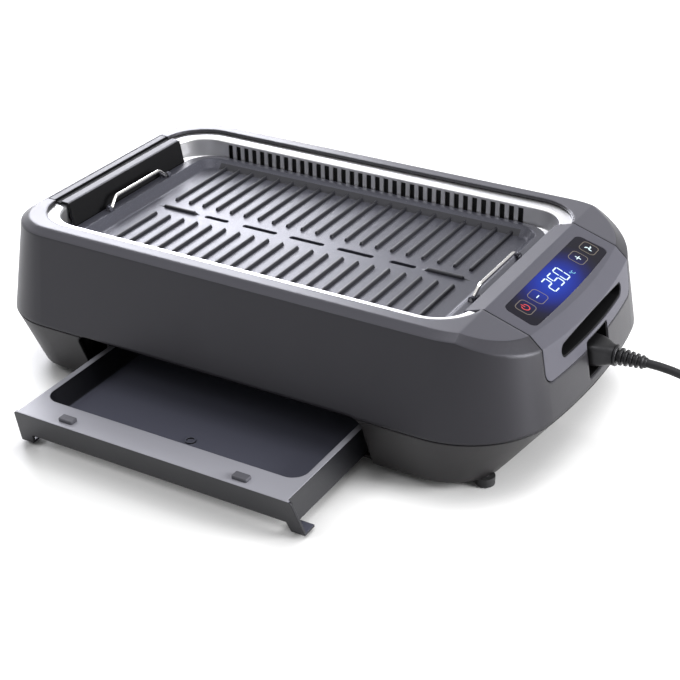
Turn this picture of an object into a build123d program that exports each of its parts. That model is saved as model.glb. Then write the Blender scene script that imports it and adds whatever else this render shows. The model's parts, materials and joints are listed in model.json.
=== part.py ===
from build123d import *
import math
import os

os.makedirs("parts", exist_ok=True)

# Sizes are in millimetres. While modelling, X runs along the length, Y from front to back,
# and the origin is on the floor under the middle of the cooking plate.

# Body heights, from the floor up
foot_height = 8.1
base_height = 53.2
wall_height = 81.2
chamfer_height = 4.7
base_bottom = foot_height
seam = base_bottom + base_height
chamfer_bottom = seam + wall_height
rim_top = chamfer_bottom + chamfer_height

# Body plan at the top of the rim
rim_left = 219.0
rim_right = 259.0
rim_half_depth = 134.0
corner_left = 38.9
corner_right = 60.0
end_bulge = 600.0

# Side walls lean out downwards, the base tucks in below the seam
chamfer_width = 7.9
wall_flare = 13.4
base_inset = 20.9
base_inset_right = 40.0
base_corner_left = 39.0
base_corner_right = 48.0
base_edge = 3.0
wall = 3.0
top_skin = 2.9
seam_gap = 0.8
floor_skin = 2.4
part_gap = 0.4
touch_gap = 0.3

# Screws between the housing halves, and the pegs of the feet
screw_radius = 2.0
screw_gap = 0.15
post_radius = 6.0
head_radius = 3.8
head_height = 2.6
head_pocket = 6.0
lug_height = 9.0
lug_half_width = 7.0
foot_radius = 8.0
peg_radius = 3.0
peg_gap = 0.05

# Sloping control end
slope = 0.32
ridge = 213.5
panel_half = 88.1
skirt_bottom = 95.0
skirt_corner = 10.0
panel_inner = 197.0
bevel_drop = 5.4
panel_sheet = 2.5
panel_gap = 1.0

# Well in the middle of the rim
rim_width = 10.5
rim_width_left = 9.3
rim_width_right = 46.8
liner_rim = 11.7
liner_step = 3.75
liner_sheet = 1.2
liner_edge = 2.2
liner_corner = 30.0
ledge_width = 5.3
slot_pitch = 9.08
slot_width = 4.1
slot_height = 14.9

# Cooking plate
plate_side_gap = 1.3
plate_end_gap = 9.0
plate_corner = 28.0
plate_skin = 3.0
plate_top = 126.35
recess_depth = 7.6
recess_side = 6.0
recess_end = 10.5
recess_corner = 19.0
recess_slant = 7.0
rib_pitch = 15.2
rib_width = 4.0
rib_height = 3.0
rib_inner = 15.5
rib_margin = 3.2
drain_width = 3.8
drain_spans = [(0.0, 35.3), (49.25, 35.9), (95.9, 25.4)]
end_rib_centre = 136.5
end_rib_length = 35.0

# Wire handles on the plate
wire_radius = 1.7
handle_foot = 42.0
handle_taper = 9.0
handle_height = 8.2
handle_bend = 7.0
handle_pin = 5.2
handle_lean = 8.0
hinge_rise = 1.8
hinge_inset = 6.5
hinge_clearance = 0.08
lug_size = 5.6
lug_length = 3.6
lug_round = 2.6
stop_height = 2.2
stop_length = 5.0
stop_thick = 1.6

# Drip tray, drawn where it stands pulled out
tray_half = 130.6
tray_length = 235.0
tray_open = 102.5
tray_top = 38.95
tray_skin = 1.8
fascia_half = 134.0
fascia_foot_half = 139.5
fascia_lean = 0.31
fascia_round = 4.0
fascia_thick = 2.5
fascia_mid_height = 26.0
fascia_height = 36.0
leg_width = 12.5
hook_length = 14.0
hook_thick = 2.0
flange_front = 27.5
flange_side = 5.1
basin_depth = 20.4
basin_corner = 14.0
basin_draft = 14.0
aperture_half = 141.0
aperture_corner = 10.0
aperture_rise = 1.2

# Left end cover
cover_half = 84.0
cover_skin = 2.9
strip_width = 6.3
groove_width = 6.9
groove_depth = 2.0
cover_gap = 1.0

# Control panel
glass_thick = 1.6
glass_inner = 9.8
glass_outer = 39.2
glass_bow = 2.3
glass_half_inner = 73.6
glass_half_outer = 75.8
glass_corner = 6.0
glass_gap = 0.15
window_inner = 13.0
window_outer = 36.0
window_half = 24.0

# Hand grips and mains inlet
grip_half = 62.7
grip_bottom = 105.0
grip_height = 17.0
grip_depth = 18.0
grip_skin = 1.5
inlet_middle = 85.0
inlet_half_width = 21.5
inlet_half_height = 16.6
inlet_floor = 262.0
socket_height = 83.5
socket_depth = 17.0
socket_half_width = 12.3
socket_half_height = 8.5

# Power board
board_left = 204.0
board_length = 48.0
board_front = -50.0
board_width = 26.0
board_height = 75.0
board_thick = 1.6

# Heating
element_radius = 3.5
element_gap = 1.2
element_half_length = 165.0
element_half_depth = 78.0
element_bend = 14.0
pan_depth = 31.0
pan_sheet = 1.0
drain_hole_half = 120.0
drain_hole_width = 26.0

# Blower
blower_x = 176.0
blower_y = 58.0
blower_radius = 34.0
blower_height = 32.0
wheel_radius = 27.0
wheel_height = 20.0
wheel_blades = 28
motor_radius = 14.0
shaft_radius = 2.0

# Mains cord
cord_radius = 3.6
relief_start = 290.0
relief_length = 27.6
relief_ribs = 5
coil_centre = (500.0, 22.0)
coil_outer = 46.0
coil_gap = 0.6
coil_layer_gap = 0.7
coil_turns_low = 2.0
coil_turns_high = 1.5
plug_radius = 18.5
plug_length = 38.0

# Values worked out from the sizes above
tilt_plane = Plane(origin=(ridge, 0, rim_top), x_dir=(1, 0, -slope), z_dir=(slope, 0, 1))
full_flare = chamfer_width + wall_flare
opening_half = rim_half_depth - rim_width
opening_left = rim_left - rim_width_left
opening_right = rim_right - rim_width_right
liner_half = opening_half - liner_rim
liner_left = opening_left - liner_rim
liner_right = opening_right - liner_rim
liner_top = rim_top - liner_step
plate_half_depth = liner_half - plate_side_gap
plate_half_length = liner_left - plate_end_gap
recess_half_length = plate_half_length - recess_end
recess_half_depth = plate_half_depth - recess_side
plate_floor = plate_top - recess_depth
plate_under = plate_top - plate_skin
ledge_top = plate_under - touch_gap
handle_x = plate_half_length - hinge_inset
hinge_height = plate_top + hinge_rise
tray_closed_front = -(rim_half_depth + full_flare - base_inset * (seam - tray_top) / base_height)
tray_front = tray_closed_front - tray_open
tray_back = tray_front + tray_length
tray_bottom = base_bottom + floor_skin + part_gap
shift_x = (rim_left - rim_right) / 2
shift_y = -(rim_half_depth + full_flare + tray_front) / 2

written = []


# Helpers


def block(x0, x1, y0, y1, z0, z1):
    return Pos((x0 + x1) / 2, (y0 + y1) / 2, (z0 + z1) / 2) * Box(x1 - x0, y1 - y0, z1 - z0)


def rounded_block(x0, x1, y0, y1, z0, z1, corner):
    face = Pos((x0 + x1) / 2, (y0 + y1) / 2, z0) * RectangleRounded(x1 - x0, y1 - y0, corner)
    return extrude(face, z1 - z0, dir=(0, 0, 1))


def prism_along_y(points, y0, y1):
    # A closed XZ polygon drawn out along Y
    face = make_face(Polyline(*[(x, y0, z) for x, z in points], close=True))
    return extrude(face, y1 - y0, dir=(0, 1, 0))


def standing(face, x):
    # A flat face turned upright, so that its own X and Y run along Y and Z
    return Plane(origin=(x, 0, 0), x_dir=(0, 1, 0), z_dir=(1, 0, 0)) * face


def prism_along_x(face, x0, x1):
    # A face given in (Y, Z), drawn out along X
    return extrude(standing(face, x0), x1 - x0, dir=(1, 0, 0))


def cylinder(x, y, z0, z1, radius):
    return Pos(x, y, (z0 + z1) / 2) * Cylinder(radius, z1 - z0)


def rod(start, end, radius):
    # A round bar from one point to another
    axis = Plane(origin=start, z_dir=Vector(*end) - Vector(*start))
    return extrude(axis * Circle(radius), (Vector(*end) - Vector(*start)).length)


def tube_along(points, radii, radius):
    path = FilletPolyline(*points, radius=radii)
    first = Vector(*points[1]) - Vector(*points[0])
    return sweep(Plane(origin=points[0], z_dir=first) * Circle(radius), path=path), path


def joined(shapes):
    # One group of separate solids
    solids = []
    for shape in shapes:
        solids += list(shape.solids())
    return Compound(children=solids)


def save(node, shape):
    export_step(Pos(shift_x, shift_y, 0) * shape, f"parts/{node}.step")
    written.append(node)


# Body outlines and forms


def plan(left, right, half, left_corner, right_corner, bulge):
    # A rounded rectangle whose right end is one long arc
    centre = right - bulge
    corner_y = half - right_corner
    corner_x = centre + math.sqrt((bulge - right_corner) ** 2 - corner_y**2)
    turn = math.degrees(math.atan2(corner_y, corner_x - centre))
    left_x = left_corner - left
    edges = [
        Line((left_x, -half), (corner_x, -half)),
        CenterArc((corner_x, -corner_y), right_corner, -90, 90 - turn),
        CenterArc((centre, 0), bulge, -turn, 2 * turn),
        CenterArc((corner_x, corner_y), right_corner, turn, 90 - turn),
        Line((corner_x, half), (left_x, half)),
        CenterArc((left_x, half - left_corner), left_corner, 90, 90),
        Line((-left, half - left_corner), (-left, left_corner - half)),
        CenterArc((left_x, left_corner - half), left_corner, 180, 90),
    ]
    return make_face(Curve() + edges)


def body_plan(grow, height):
    corner_l = corner_left + grow
    corner_r = corner_right + grow
    face = plan(rim_left + grow, rim_right + grow, rim_half_depth + grow, corner_l, corner_r,
                end_bulge + grow)
    return Pos(0, 0, height) * face


def upper_form(inset, drop, below):
    # Leaning walls with a chamfered flat top, cut by the same chamfered top sheared down
    # beyond the ridge
    lean = wall_flare / wall_height
    spread = chamfer_width / chamfer_height
    low = seam - below
    top = rim_top - drop
    low_grow = chamfer_width + (chamfer_bottom - low) * lean - inset
    meeting = (top * spread - chamfer_width - chamfer_bottom * lean) / (spread - lean)
    edge_plan = body_plan((top - meeting) * spread - inset, meeting)
    body = loft([body_plan(low_grow, low), edge_plan, body_plan(-inset, top)], ruled=True)
    reach = top - low + slope * (rim_left + ridge + 5 * full_flare)
    cutter = loft([body_plan(spread * reach - inset, top - reach), body_plan(-inset, top)], ruled=True)
    shear = Matrix([[1, 0, 0, 0], [0, 1, 0, 0], [-slope, 0, 1, slope * ridge], [0, 0, 0, 1]])
    return body & cutter.solids()[0].transform_geometry(shear)


def base_plan(inset, height, share):
    # Share 0 is the outline at the seam, share 1 the one at the bottom
    grow = full_flare - share * base_inset - inset
    right = rim_right + full_flare - share * base_inset_right - inset
    corner_l = corner_left + full_flare + share * (base_corner_left - corner_left - full_flare) - inset
    corner_r = corner_right + full_flare + share * (base_corner_right - corner_right - full_flare) - inset
    face = plan(rim_left + grow, right, rim_half_depth + grow, corner_l, corner_r, end_bulge)
    return Pos(0, 0, height) * face


def panel_region(grow):
    # What the control cover takes out of the right end
    height = 2 * (rim_top - skirt_bottom)
    corner = skirt_corner + grow
    face = RectangleRounded(2 * (panel_half + grow), height + 2 * grow, corner)
    low = skirt_bottom + height / 2
    return prism_along_x(Pos(0, low) * face, ridge - grow, rim_right + 2 * full_flare)


def grip_face(inset):
    # Long pocket with round ends and a slightly arched top
    half = grip_half - inset
    low = grip_bottom + inset
    high = grip_bottom + grip_height - inset
    shoulder = high - 4.0
    corner = (grip_height - 4.0) / 2 - inset
    edges = [
        Line((-half + corner, low), (half - corner, low)),
        ThreePointArc((half - corner, low), (half, low + corner), (half - corner, shoulder)),
        ThreePointArc((half - corner, shoulder), (0, high), (corner - half, shoulder)),
        ThreePointArc((corner - half, shoulder), (-half, low + corner), (corner - half, low)),
    ]
    return make_face(Curve() + edges)


def inlet_face(inset):
    width = 2 * (inlet_half_width - inset)
    height = 2 * (inlet_half_height - inset)
    return Pos(0, inlet_middle) * RectangleRounded(width, height, 3.0 - min(inset, 2.0))


def aperture_back():
    # How far in the drawer opening cuts through the front
    return -(rim_half_depth + full_flare - base_inset - 2 * wall)


def aperture():
    # Drawer opening through the front wall
    top = seam + aperture_rise
    low = -aperture_corner
    width = 2 * aperture_half
    face = Pos(0, (low + top) / 2) * RectangleRounded(width, top - low, aperture_corner)
    front = -(rim_half_depth + 2 * full_flare)
    return extrude(Plane(origin=(0, front, 0), x_dir=(1, 0, 0), z_dir=(0, -1, 0)) * face,
                   aperture_back() - front, dir=(0, 1, 0))


def screw_places():
    # Where the two housing halves are screwed together
    inner_left = rim_left - 14.0
    inner_right = rim_right - 34.0
    side = rim_half_depth - 12.0
    places = [(-inner_left, 66.0), (-inner_left, -66.0), (inner_right, 62.0), (inner_right, -62.0)]
    places += [(-60.0, side), (80.0, side), (-aperture_half - 19.0, -side), (aperture_half + 19.0, -side)]
    return places


def foot_places():
    return [(-203.0, 104.0), (-203.0, -104.0), (227.0, 104.0), (227.0, -104.0)]


# Housing


def upper_housing(outer, inner):
    shell = outer - inner
    x_mid = (opening_right - opening_left) / 2
    well_length = opening_left + opening_right
    well_corner = liner_corner + liner_rim
    well = rounded_block(x_mid - well_length / 2, x_mid + well_length / 2, -opening_half, opening_half,
                         rim_top - 20, rim_top + 5, well_corner)
    shell -= well
    shell -= block(-rim_left + 1.0, -opening_left + 10, -cover_half - cover_gap, cover_half + cover_gap,
                   liner_top, rim_top + 5)
    shell -= panel_region(panel_gap)
    shell -= block(opening_right - 20, ridge + 1, -panel_half - panel_gap, panel_half + panel_gap,
                   liner_top, rim_top + 5)
    shell -= prism_along_x(inlet_face(-touch_gap), rim_right - 10, rim_right + 2 * full_flare)
    shell -= prism_along_x(grip_face(0), -rim_left - 2 * full_flare, -rim_left + 10)
    for lug in upper_lugs():
        shell += lug & outer
    for x, y in screw_places():
        shell -= cylinder(x, y, seam - 1, seam + lug_height - 1, screw_radius + peg_gap)
    shell -= aperture()
    return shell


def upper_lugs():
    # Brackets from the wall inwards to each screw
    low = seam + seam_gap / 2
    high = seam + lug_height
    reach = 2 * full_flare + 20
    lugs = []
    for x, y in screw_places():
        if abs(y) < rim_half_depth - 30:
            far = x + math.copysign(reach + 20, x)
            x0, x1 = sorted((x - math.copysign(lug_half_width, x), far))
            lugs.append(block(x0, x1, y - lug_half_width, y + lug_half_width, low, high))
        else:
            far = y + math.copysign(reach, y)
            y0, y1 = sorted((y - math.copysign(lug_half_width, y), far))
            lugs.append(block(x - lug_half_width, x + lug_half_width, y0, y1, low, high))
    return lugs


def lower_housing():
    high = seam - seam_gap / 2
    outer = loft([base_plan(0, base_bottom, 1), base_plan(0, high, 0)], ruled=True)
    rim_edges = outer.edges().group_by(Axis.Z)[0]
    outer = fillet(rim_edges, base_edge)
    inner = loft([base_plan(wall, base_bottom, 1), base_plan(wall, high, 0)], ruled=True)
    inner += extrude(base_plan(wall, high, 0), 2, dir=(0, 0, 1))
    inner &= block(-600, 600, -400, 400, base_bottom + floor_skin, high + 2)
    shell = outer - inner
    for x, y in screw_places():
        shell += cylinder(x, y, base_bottom + 1, seam + seam_gap / 2, post_radius)
    for x, y in board_posts():
        shell += cylinder(x, y, base_bottom + 1, board_height, 3.2)
        shell -= cylinder(x, y, board_height - 8.5, board_height + 1, 1.45)
    for x, y in screw_places():
        shell -= cylinder(x, y, base_bottom - 1, base_bottom + head_pocket, head_radius + part_gap)
        shell -= cylinder(x, y, base_bottom, high + 1, screw_radius + screw_gap)
    for x, y in foot_places():
        shell -= cylinder(x, y, base_bottom - 1, base_bottom + floor_skin + 1, peg_radius + peg_gap)
    shell -= aperture()
    for x in range(6):
        place = blower_x - 12.0 + 6.0 * (x - 3)
        shell -= block(place - 1.6, place + 1.6, rim_half_depth - 10, rim_half_depth + 2 * full_flare,
                       base_bottom + 12, base_bottom + 34)
    for side in (-1, 1):
        for row in range(7):
            x = side * (aperture_half + 22.0)
            y = 8.0 * (row - 3) - 40.0
            shell -= block(x - 12, x + 12, y - 2, y + 2, base_bottom - 1, base_bottom + floor_skin + 1)
    return shell


def feet():
    pads = []
    for x, y in foot_places():
        foot = cylinder(x, y, 0, foot_height, foot_radius)
        foot = chamfer(foot.edges().group_by(Axis.Z)[0], 0.8)
        foot += cylinder(x, y, foot_height, foot_height + floor_skin, peg_radius)
        pads.append(foot)
    return joined(pads)


def housing_screws():
    screws = []
    seat = base_bottom + head_pocket
    for x, y in screw_places():
        screw = cylinder(x, y, seat - head_height, seat - 0.05, head_radius)
        screw += cylinder(x, y, seat - 0.1, seam + lug_height - 2, screw_radius)
        screw -= block(x - 3, x + 3, y - 0.6, y + 0.6, seat - head_height - 1, seat - head_height + 1.2)
        screw -= block(x - 0.6, x + 0.6, y - 3, y + 3, seat - head_height - 1, seat - head_height + 1.2)
        screws.append(screw)
    return joined(screws)


# Well


def steel_liner():
    low = ledge_top - liner_sheet
    mid = (liner_right - liner_left) / 2
    half = (liner_right + liner_left) / 2

    def ring(grow, z0, z1):
        return rounded_block(mid - half - grow, mid + half + grow, -liner_half - grow,
                             liner_half + grow, z0, z1, liner_corner + grow)

    liner = ring(liner_sheet, low, liner_top)
    liner += ring(liner_rim + 2.0, liner_top - liner_sheet, liner_top)
    liner -= ring(0, ledge_top, liner_top + 1)
    edges = liner.edges().filter_by_position(Axis.Z, liner_top - 0.01, liner_top + 0.01)
    inner_edges = [e for e in edges if abs(e.center().Y) < liner_half + 1 and e.center().X < mid + half + 1
                   and e.center().X > mid - half - 1]
    liner = fillet(inner_edges, liner_edge - 1.2)
    ledge_x = recess_half_length + 5.5
    ledge_y = liner_half - ledge_width
    liner -= rounded_block(-ledge_x, ledge_x, -ledge_y, ledge_y, low - 1, ledge_top + 1, 22.0)
    for index in range(-slot_count(), slot_count() + 1):
        x = index * slot_pitch
        liner -= block(x - slot_width / 2, x + slot_width / 2, liner_half - 5, liner_half + 5,
                       slot_low(), slot_low() + slot_height)
    liner -= block(panel_inner, rim_right, -panel_half - 1.4, panel_half + 1.4,
                   rim_top - 2 * bevel_drop, rim_top + 5)
    return liner


def slot_count():
    straight = liner_left - liner_corner
    return int((straight - 10.0) / slot_pitch)


def slot_low():
    return ledge_top + 0.6


def left_end_cover():
    # Outer strip, groove and inner ridge, hung over the rim of the liner
    outer = -rim_left + 1.0 + part_gap
    groove = outer + strip_width
    ridge_x0 = groove + groove_width
    wall_x = -liner_left + 2.0
    under = rim_top - cover_skin
    points = [
        (outer, under), (outer, rim_top), (groove, rim_top), (groove, rim_top - groove_depth),
        (ridge_x0, rim_top - groove_depth), (ridge_x0, rim_top - 0.3), (wall_x - 1.5, rim_top - 0.3),
        (wall_x, rim_top - 1.3), (wall_x, under),
    ]
    return prism_along_y(points, -cover_half, cover_half)


def left_inner_wall():
    # Dark wall that stands on the ledge beside the plate
    top = rim_top - 0.9
    under = rim_top - cover_skin - 0.1
    foot = -plate_half_length - 1.2
    head = -liner_left + 2.9
    step = -liner_left + 2.1
    points = [
        (foot, ledge_top), (head, top), (step, top), (step, under), (head - panel_sheet, under),
        (foot - panel_sheet, ledge_top),
    ]
    return prism_along_y(points, -cover_half, cover_half)


def control_panel_cover(outer, inner):
    # Skin of the sloping end with its skirt, and the inner wall down to the ledge
    cover = (outer - inner) & panel_region(0)
    foot = plate_half_length + 1.2
    knee = rim_top - bevel_drop
    back = ridge + 0.5
    shape = [
        (foot, ledge_top), (panel_inner, knee), (ridge, rim_top), (back, rim_top - 0.5 * slope),
        (back, rim_top - top_skin), (panel_inner + 1.8, knee - 2.2),
        (foot + panel_sheet, ledge_top),
    ]
    cover += prism_along_y(shape, -panel_half, panel_half)
    cover -= glass_solid(glass_gap, glass_thick, 1.0)
    window = Pos((window_inner + window_outer) / 2, 0, -top_skin)
    cover -= tilt_plane.location * window * Box(window_outer - window_inner, 2 * window_half, 6)
    for x, y in cover_screw_places():
        low = glass_thick + 4.8
        stud = tilt_plane.location * Pos(x, y, -(low + 2.2) / 2) * Cylinder(3.0, low - 2.2)
        cover += stud
        cover -= tilt_plane.location * Pos(x, y, -low) * Cylinder(1.15, 5.4)
    cover -= prism_along_x(grip_face(0), rim_right - 10, rim_right + 2 * full_flare)
    cover -= prism_along_x(inlet_face(-touch_gap), rim_right - 10, rim_right + 2 * full_flare)
    return cover


def glass_solid(grow, depth, rise):
    # A plate whose outer long edge is bowed, in the plane of the slope
    inner_x = glass_inner - grow
    outer_x = glass_outer + grow
    near = glass_half_inner + grow
    far = glass_half_outer + grow
    bow = outer_x + glass_bow
    edges = [
        Line((inner_x, near), (inner_x, -near)),
        Line((inner_x, -near), (outer_x, -far)),
        ThreePointArc((outer_x, -far), (bow, 0), (outer_x, far)),
        Line((outer_x, far), (inner_x, near)),
    ]
    face = make_face(Curve() + edges)
    face = fillet(face.vertices(), glass_corner + grow)
    placed = tilt_plane.location * Pos(0, 0, rise) * face
    return extrude(placed, depth + rise, dir=-tilt_plane.z_dir)


def panel_board(x0, x1, half, top, thick):
    # A flat plate parallel to the sloping top
    centre = Pos((x0 + x1) / 2, 0, -top - thick / 2)
    return tilt_plane.location * centre * Box(x1 - x0, 2 * half, thick)


def lcd_module():
    return panel_board(window_inner + 0.3, window_outer - 0.3, window_half - 0.3, glass_thick + 0.1, 4.7)


def touch_board():
    board = panel_board(6.0, 43.0, 74.0, glass_thick + 4.8, 1.6)
    for x, y in cover_screw_places():
        board -= tilt_plane.location * Pos(x, y, -glass_thick - 5) * Cylinder(1.3, 8)
    return board


def cover_screw_places():
    return [(x, y) for x in (9.5, 39.5) for y in (-68.0, 68.0)]


def cover_screws():
    # Short screws that hold the touch board under the cover
    screws = []
    for x, y in cover_screw_places():
        low = glass_thick + 4.8 + 1.6
        head = tilt_plane.location * Pos(x, y, -low - 0.9) * Cylinder(2.6, 1.8)
        shank = tilt_plane.location * Pos(x, y, -low + 2.0) * Cylinder(1.1, 4.4)
        screws.append(head + shank)
    return joined(screws)


def grip_lining(side, form):
    # A closed cup behind the pocket
    x_skin = rim_left if side < 0 else rim_right
    reach = x_skin + 2 * full_flare
    inner = x_skin + full_flare - 10 - grip_depth
    x0, x1 = sorted((side * inner, side * reach))
    cup = prism_along_x(grip_face(touch_gap / 3), x0, x1)
    hollow0, hollow1 = sorted((side * (inner + grip_skin), side * (reach + 5)))
    cup -= prism_along_x(grip_face(grip_skin), hollow0, hollow1)
    return cup & form


# Inlet


def inlet_socket(form):
    back = inlet_floor - socket_depth
    cup = prism_along_x(inlet_face(0.0), inlet_floor - 2, rim_right + 2 * full_flare)
    cup -= prism_along_x(inlet_face(1.5), inlet_floor, rim_right + 2 * full_flare + 1)
    cup = cup & form
    outer = Pos(0, socket_height) * RectangleRounded(2 * socket_half_width + 4, 2 * socket_half_height + 4, 3)
    cup += prism_along_x(outer, back, inlet_floor - 1)
    hole = Pos(0, socket_height) * RectangleRounded(2 * socket_half_width, 2 * socket_half_height, 2)
    cup -= prism_along_x(hole, back + 2.0, inlet_floor + 1)
    for y, z in pin_places():
        cup -= block(back - 1, back + 3, y - 1, y + 1, z - 2, z + 2)
    return cup


def pin_places():
    return [(-7.0, socket_height - 2.0), (7.0, socket_height - 2.0), (0.0, socket_height + 2.0)]


def inlet_pins():
    back = inlet_floor - socket_depth
    pins = [block(back - 6, inlet_floor - 3, y - 1, y + 1, z - 2, z + 2) for y, z in pin_places()]
    return joined(pins)


# Heating


def element_height():
    return plate_floor - 3.5 - element_gap - element_radius


def heating_element():
    z = element_height()
    end = liner_left + 8.0
    neck = 14.0
    near = element_half_length
    side = element_half_depth
    points = [
        (end, -neck, z), (near, -neck, z), (near, -side, z), (-near, -side, z),
        (-near, side, z), (near, side, z), (near, neck, z), (end, neck, z),
    ]
    solid, path = tube_along(points, [element_bend] * 6, element_radius)
    return solid


def element_brackets():
    z = element_height()
    low = pan_floor() + pan_sheet
    clips = []
    for x in (-110.0, 110.0):
        for y in (-element_half_depth, element_half_depth):
            clip = block(x - 4, x + 4, y - 6, y + 6, low, z + 2)
            clip -= block(x - 5, x + 5, y - 4.6, y + 4.6, low + 1.4, z + 3)
            clip += block(x - 4, x + 4, y - 5, y + 5, z - element_radius - 1.7, z - element_radius - 0.05)
            clips.append(clip)
    return joined(clips)


def pan_floor():
    return ledge_top - liner_sheet - pan_depth


def reflector_pan():
    # Open tub under the element, with a drain along the middle
    top = ledge_top - liner_sheet - 0.05
    x = recess_half_length + 9.0
    y = liner_half - 0.5
    low = pan_floor()
    deep_x = x - 4.0
    deep_y = y - 4.0
    pan = rounded_block(-x, x, -y, y, top - pan_sheet, top, 26.0)
    pan += rounded_block(-deep_x, deep_x, -deep_y, deep_y, low, top, 20.0)
    pan -= rounded_block(-deep_x + pan_sheet, deep_x - pan_sheet, -deep_y + pan_sheet,
                         deep_y - pan_sheet, low + pan_sheet, top + 1, 19.0)
    half_w = drain_hole_width / 2
    pan += block(-drain_hole_half - 1, drain_hole_half + 1, -half_w - 1, half_w + 1, low - 12, low + 1)
    pan -= block(-drain_hole_half, drain_hole_half, -half_w, half_w, low - 13, low + 4)
    for y_neck in (-14.0, 14.0):
        z = element_height()
        pan -= block(deep_x - 3, deep_x + 3, y_neck - 5, y_neck + 5, z - 5, z + 5)
    return pan


def terminal_block():
    z = element_height()
    x0 = liner_left + 2.0
    body = block(x0, x0 + 16, -24, 24, z - 7, z + 7)
    for y in (-14.0, 14.0):
        body -= rod((x0 - 1, y, z), (x0 + 17, y, z), element_radius + 0.05)
    return body


def thermal_cutoff():
    z = element_height()
    x0 = liner_left + 2.0
    disc = cylinder(x0 + 9, 0, z + 7.05, z + 13, 6.5)
    disc += block(x0 + 3, x0 + 15, -13, 13, z + 7.05, z + 8.2)
    return disc


def temperature_probe():
    low = pan_floor() + pan_sheet
    high = plate_floor - 3.5 - touch_gap
    probe = cylinder(70, 46, low, high - 8, 5.0)
    probe += cylinder(70, 46, high - 9, high, 8.0)
    probe += cylinder(70, 46, low, low + 1.6, 10.0)
    return probe


# Drawer guides


def tray_rails():
    rails = []
    low = base_bottom + floor_skin
    front = tray_closed_front + 22.0
    back = tray_closed_front + tray_length + 6.0
    for side in (-1, 1):
        inner = tray_half + 0.7
        points = [
            (inner, low), (inner + 2.2, low), (inner + 2.2, tray_top + 2.8), (inner - 4.0, tray_top + 2.8),
            (inner - 4.0, tray_top + 0.8), (inner, tray_top + 0.8),
        ]
        rails.append(prism_along_y([(side * x, z) for x, z in points], front, back))
    return joined(rails)


def drawer_frame():
    # Dark apron behind the upper part of the drawer opening
    front = aperture_back() - 1.6
    low = tray_top + 4.5
    high = seam + 14.0
    apron = block(-aperture_half, aperture_half, front, front + 2, low, high)
    for side in (-1, 1):
        x0, x1 = sorted((side * aperture_half, side * (aperture_half - 2)))
        apron += block(x0, x1, front, front + 20, low, high)
    return apron


# Blower


def fan_housing():
    low = base_bottom + floor_skin + 1.0
    high = low + blower_height
    x, y, r = blower_x, blower_y, blower_radius
    back = rim_half_depth - wall
    body = cylinder(x, y, low, high, r)
    body += block(x - r, x - 2, y, back, low, high)
    inner = cylinder(x, y, low + 1.6, high - 1.6, r - 1.6)
    inner += block(x - r + 1.6, x - 3.6, y, back + 1, low + 1.6, high - 1.6)
    body -= inner
    body -= cylinder(x, y, high - 3, high + 1, wheel_radius - 6)
    body -= cylinder(x, y, low - 1, low + 3, 6.0)
    return body


def fan_motor():
    low = base_bottom + floor_skin + 1.0 + 1.7
    motor = cylinder(blower_x, blower_y, low, low + 14, motor_radius)
    motor += cylinder(blower_x, blower_y, base_bottom + floor_skin, low + 1, 5.9)
    motor -= cylinder(blower_x, blower_y, low + 4, low + 15, shaft_radius + 0.05)
    return motor


def impeller():
    low = base_bottom + floor_skin + 1.0 + 4.0
    x, y = blower_x, blower_y
    top = low + wheel_height
    hub_inner = motor_radius + 1.0
    wheel = cylinder(x, y, low, top, hub_inner + 1.5) - cylinder(x, y, low - 1, top - 2, hub_inner)
    wheel += cylinder(x, y, low + 2.0, top - 1, shaft_radius)
    wheel += cylinder(x, y, low, low + 1.2, wheel_radius) - cylinder(x, y, low - 1, low + 2, hub_inner)
    ring = cylinder(x, y, top - 1.5, top, wheel_radius) - cylinder(x, y, top - 3, top + 1, wheel_radius - 2)
    wheel += ring
    for index in range(wheel_blades):
        turn = Rot(0, 0, 360.0 * index / wheel_blades)
        blade = Pos(wheel_radius - 3.4, 0, (low + top) / 2) * Rot(0, 0, 35) * Box(5.6, 0.9, wheel_height - 0.4)
        wheel += Pos(x, y, 0) * turn * blade
    return wheel


def air_duct():
    # Plenum behind the vent slots, down to the blower's inlet
    front = liner_half + liner_sheet + 0.3
    back = rim_half_depth - 6.0
    high = liner_top - liner_sheet - 1.0
    low = ledge_top - 20.0
    half = slot_count() * slot_pitch + 10.0
    t = 1.5
    drop0 = blower_x - 26.0
    drop1 = blower_x + 24.0
    fan_top = base_bottom + floor_skin + 1.0 + blower_height
    body = block(-half, drop1, front, back, low, high)
    body += block(drop0, drop1, front, back, fan_top + 0.1, low + 5)
    body += block(drop0, drop1, blower_y - 24, back, fan_top + 0.1, fan_top + 30)
    hollow = block(-half + t, drop1 - t, front - 1, back - t, ledge_top - 1.0, high - t)
    hollow += block(-half + t, drop1 - t, front + t, back - t, low + t, ledge_top)
    hollow += block(drop0 + t, drop1 - t, front + t, back - t, fan_top + t, low + 6)
    hollow += block(drop0 + t, drop1 - t, blower_y - 24 + t, back - t, fan_top + t, fan_top + 30 - t)
    hollow += cylinder(blower_x, blower_y, fan_top - 1, fan_top + 5, wheel_radius - 6)
    return body - hollow


# Electronics


def board_posts():
    # Posts on the base that carry the power board
    return [(x, y) for x in (board_left + 4.0, board_left + board_length - 22.0)
            for y in (board_front + 4.0, board_front + board_width - 4.0)]


def power_board():
    board = block(board_left, board_left + board_length, board_front, board_front + board_width,
                  board_height, board_height + board_thick)
    for x, y in board_posts():
        board -= cylinder(x, y, board_height - 1, board_height + 3, 1.6)
    return board


def board_screws():
    screws = []
    for x, y in board_posts():
        screw = cylinder(x, y, board_height + board_thick, board_height + board_thick + 1.8, 2.7)
        screws.append(screw + cylinder(x, y, board_height - 8, board_height + 2, 1.4))
    return joined(screws)


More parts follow.
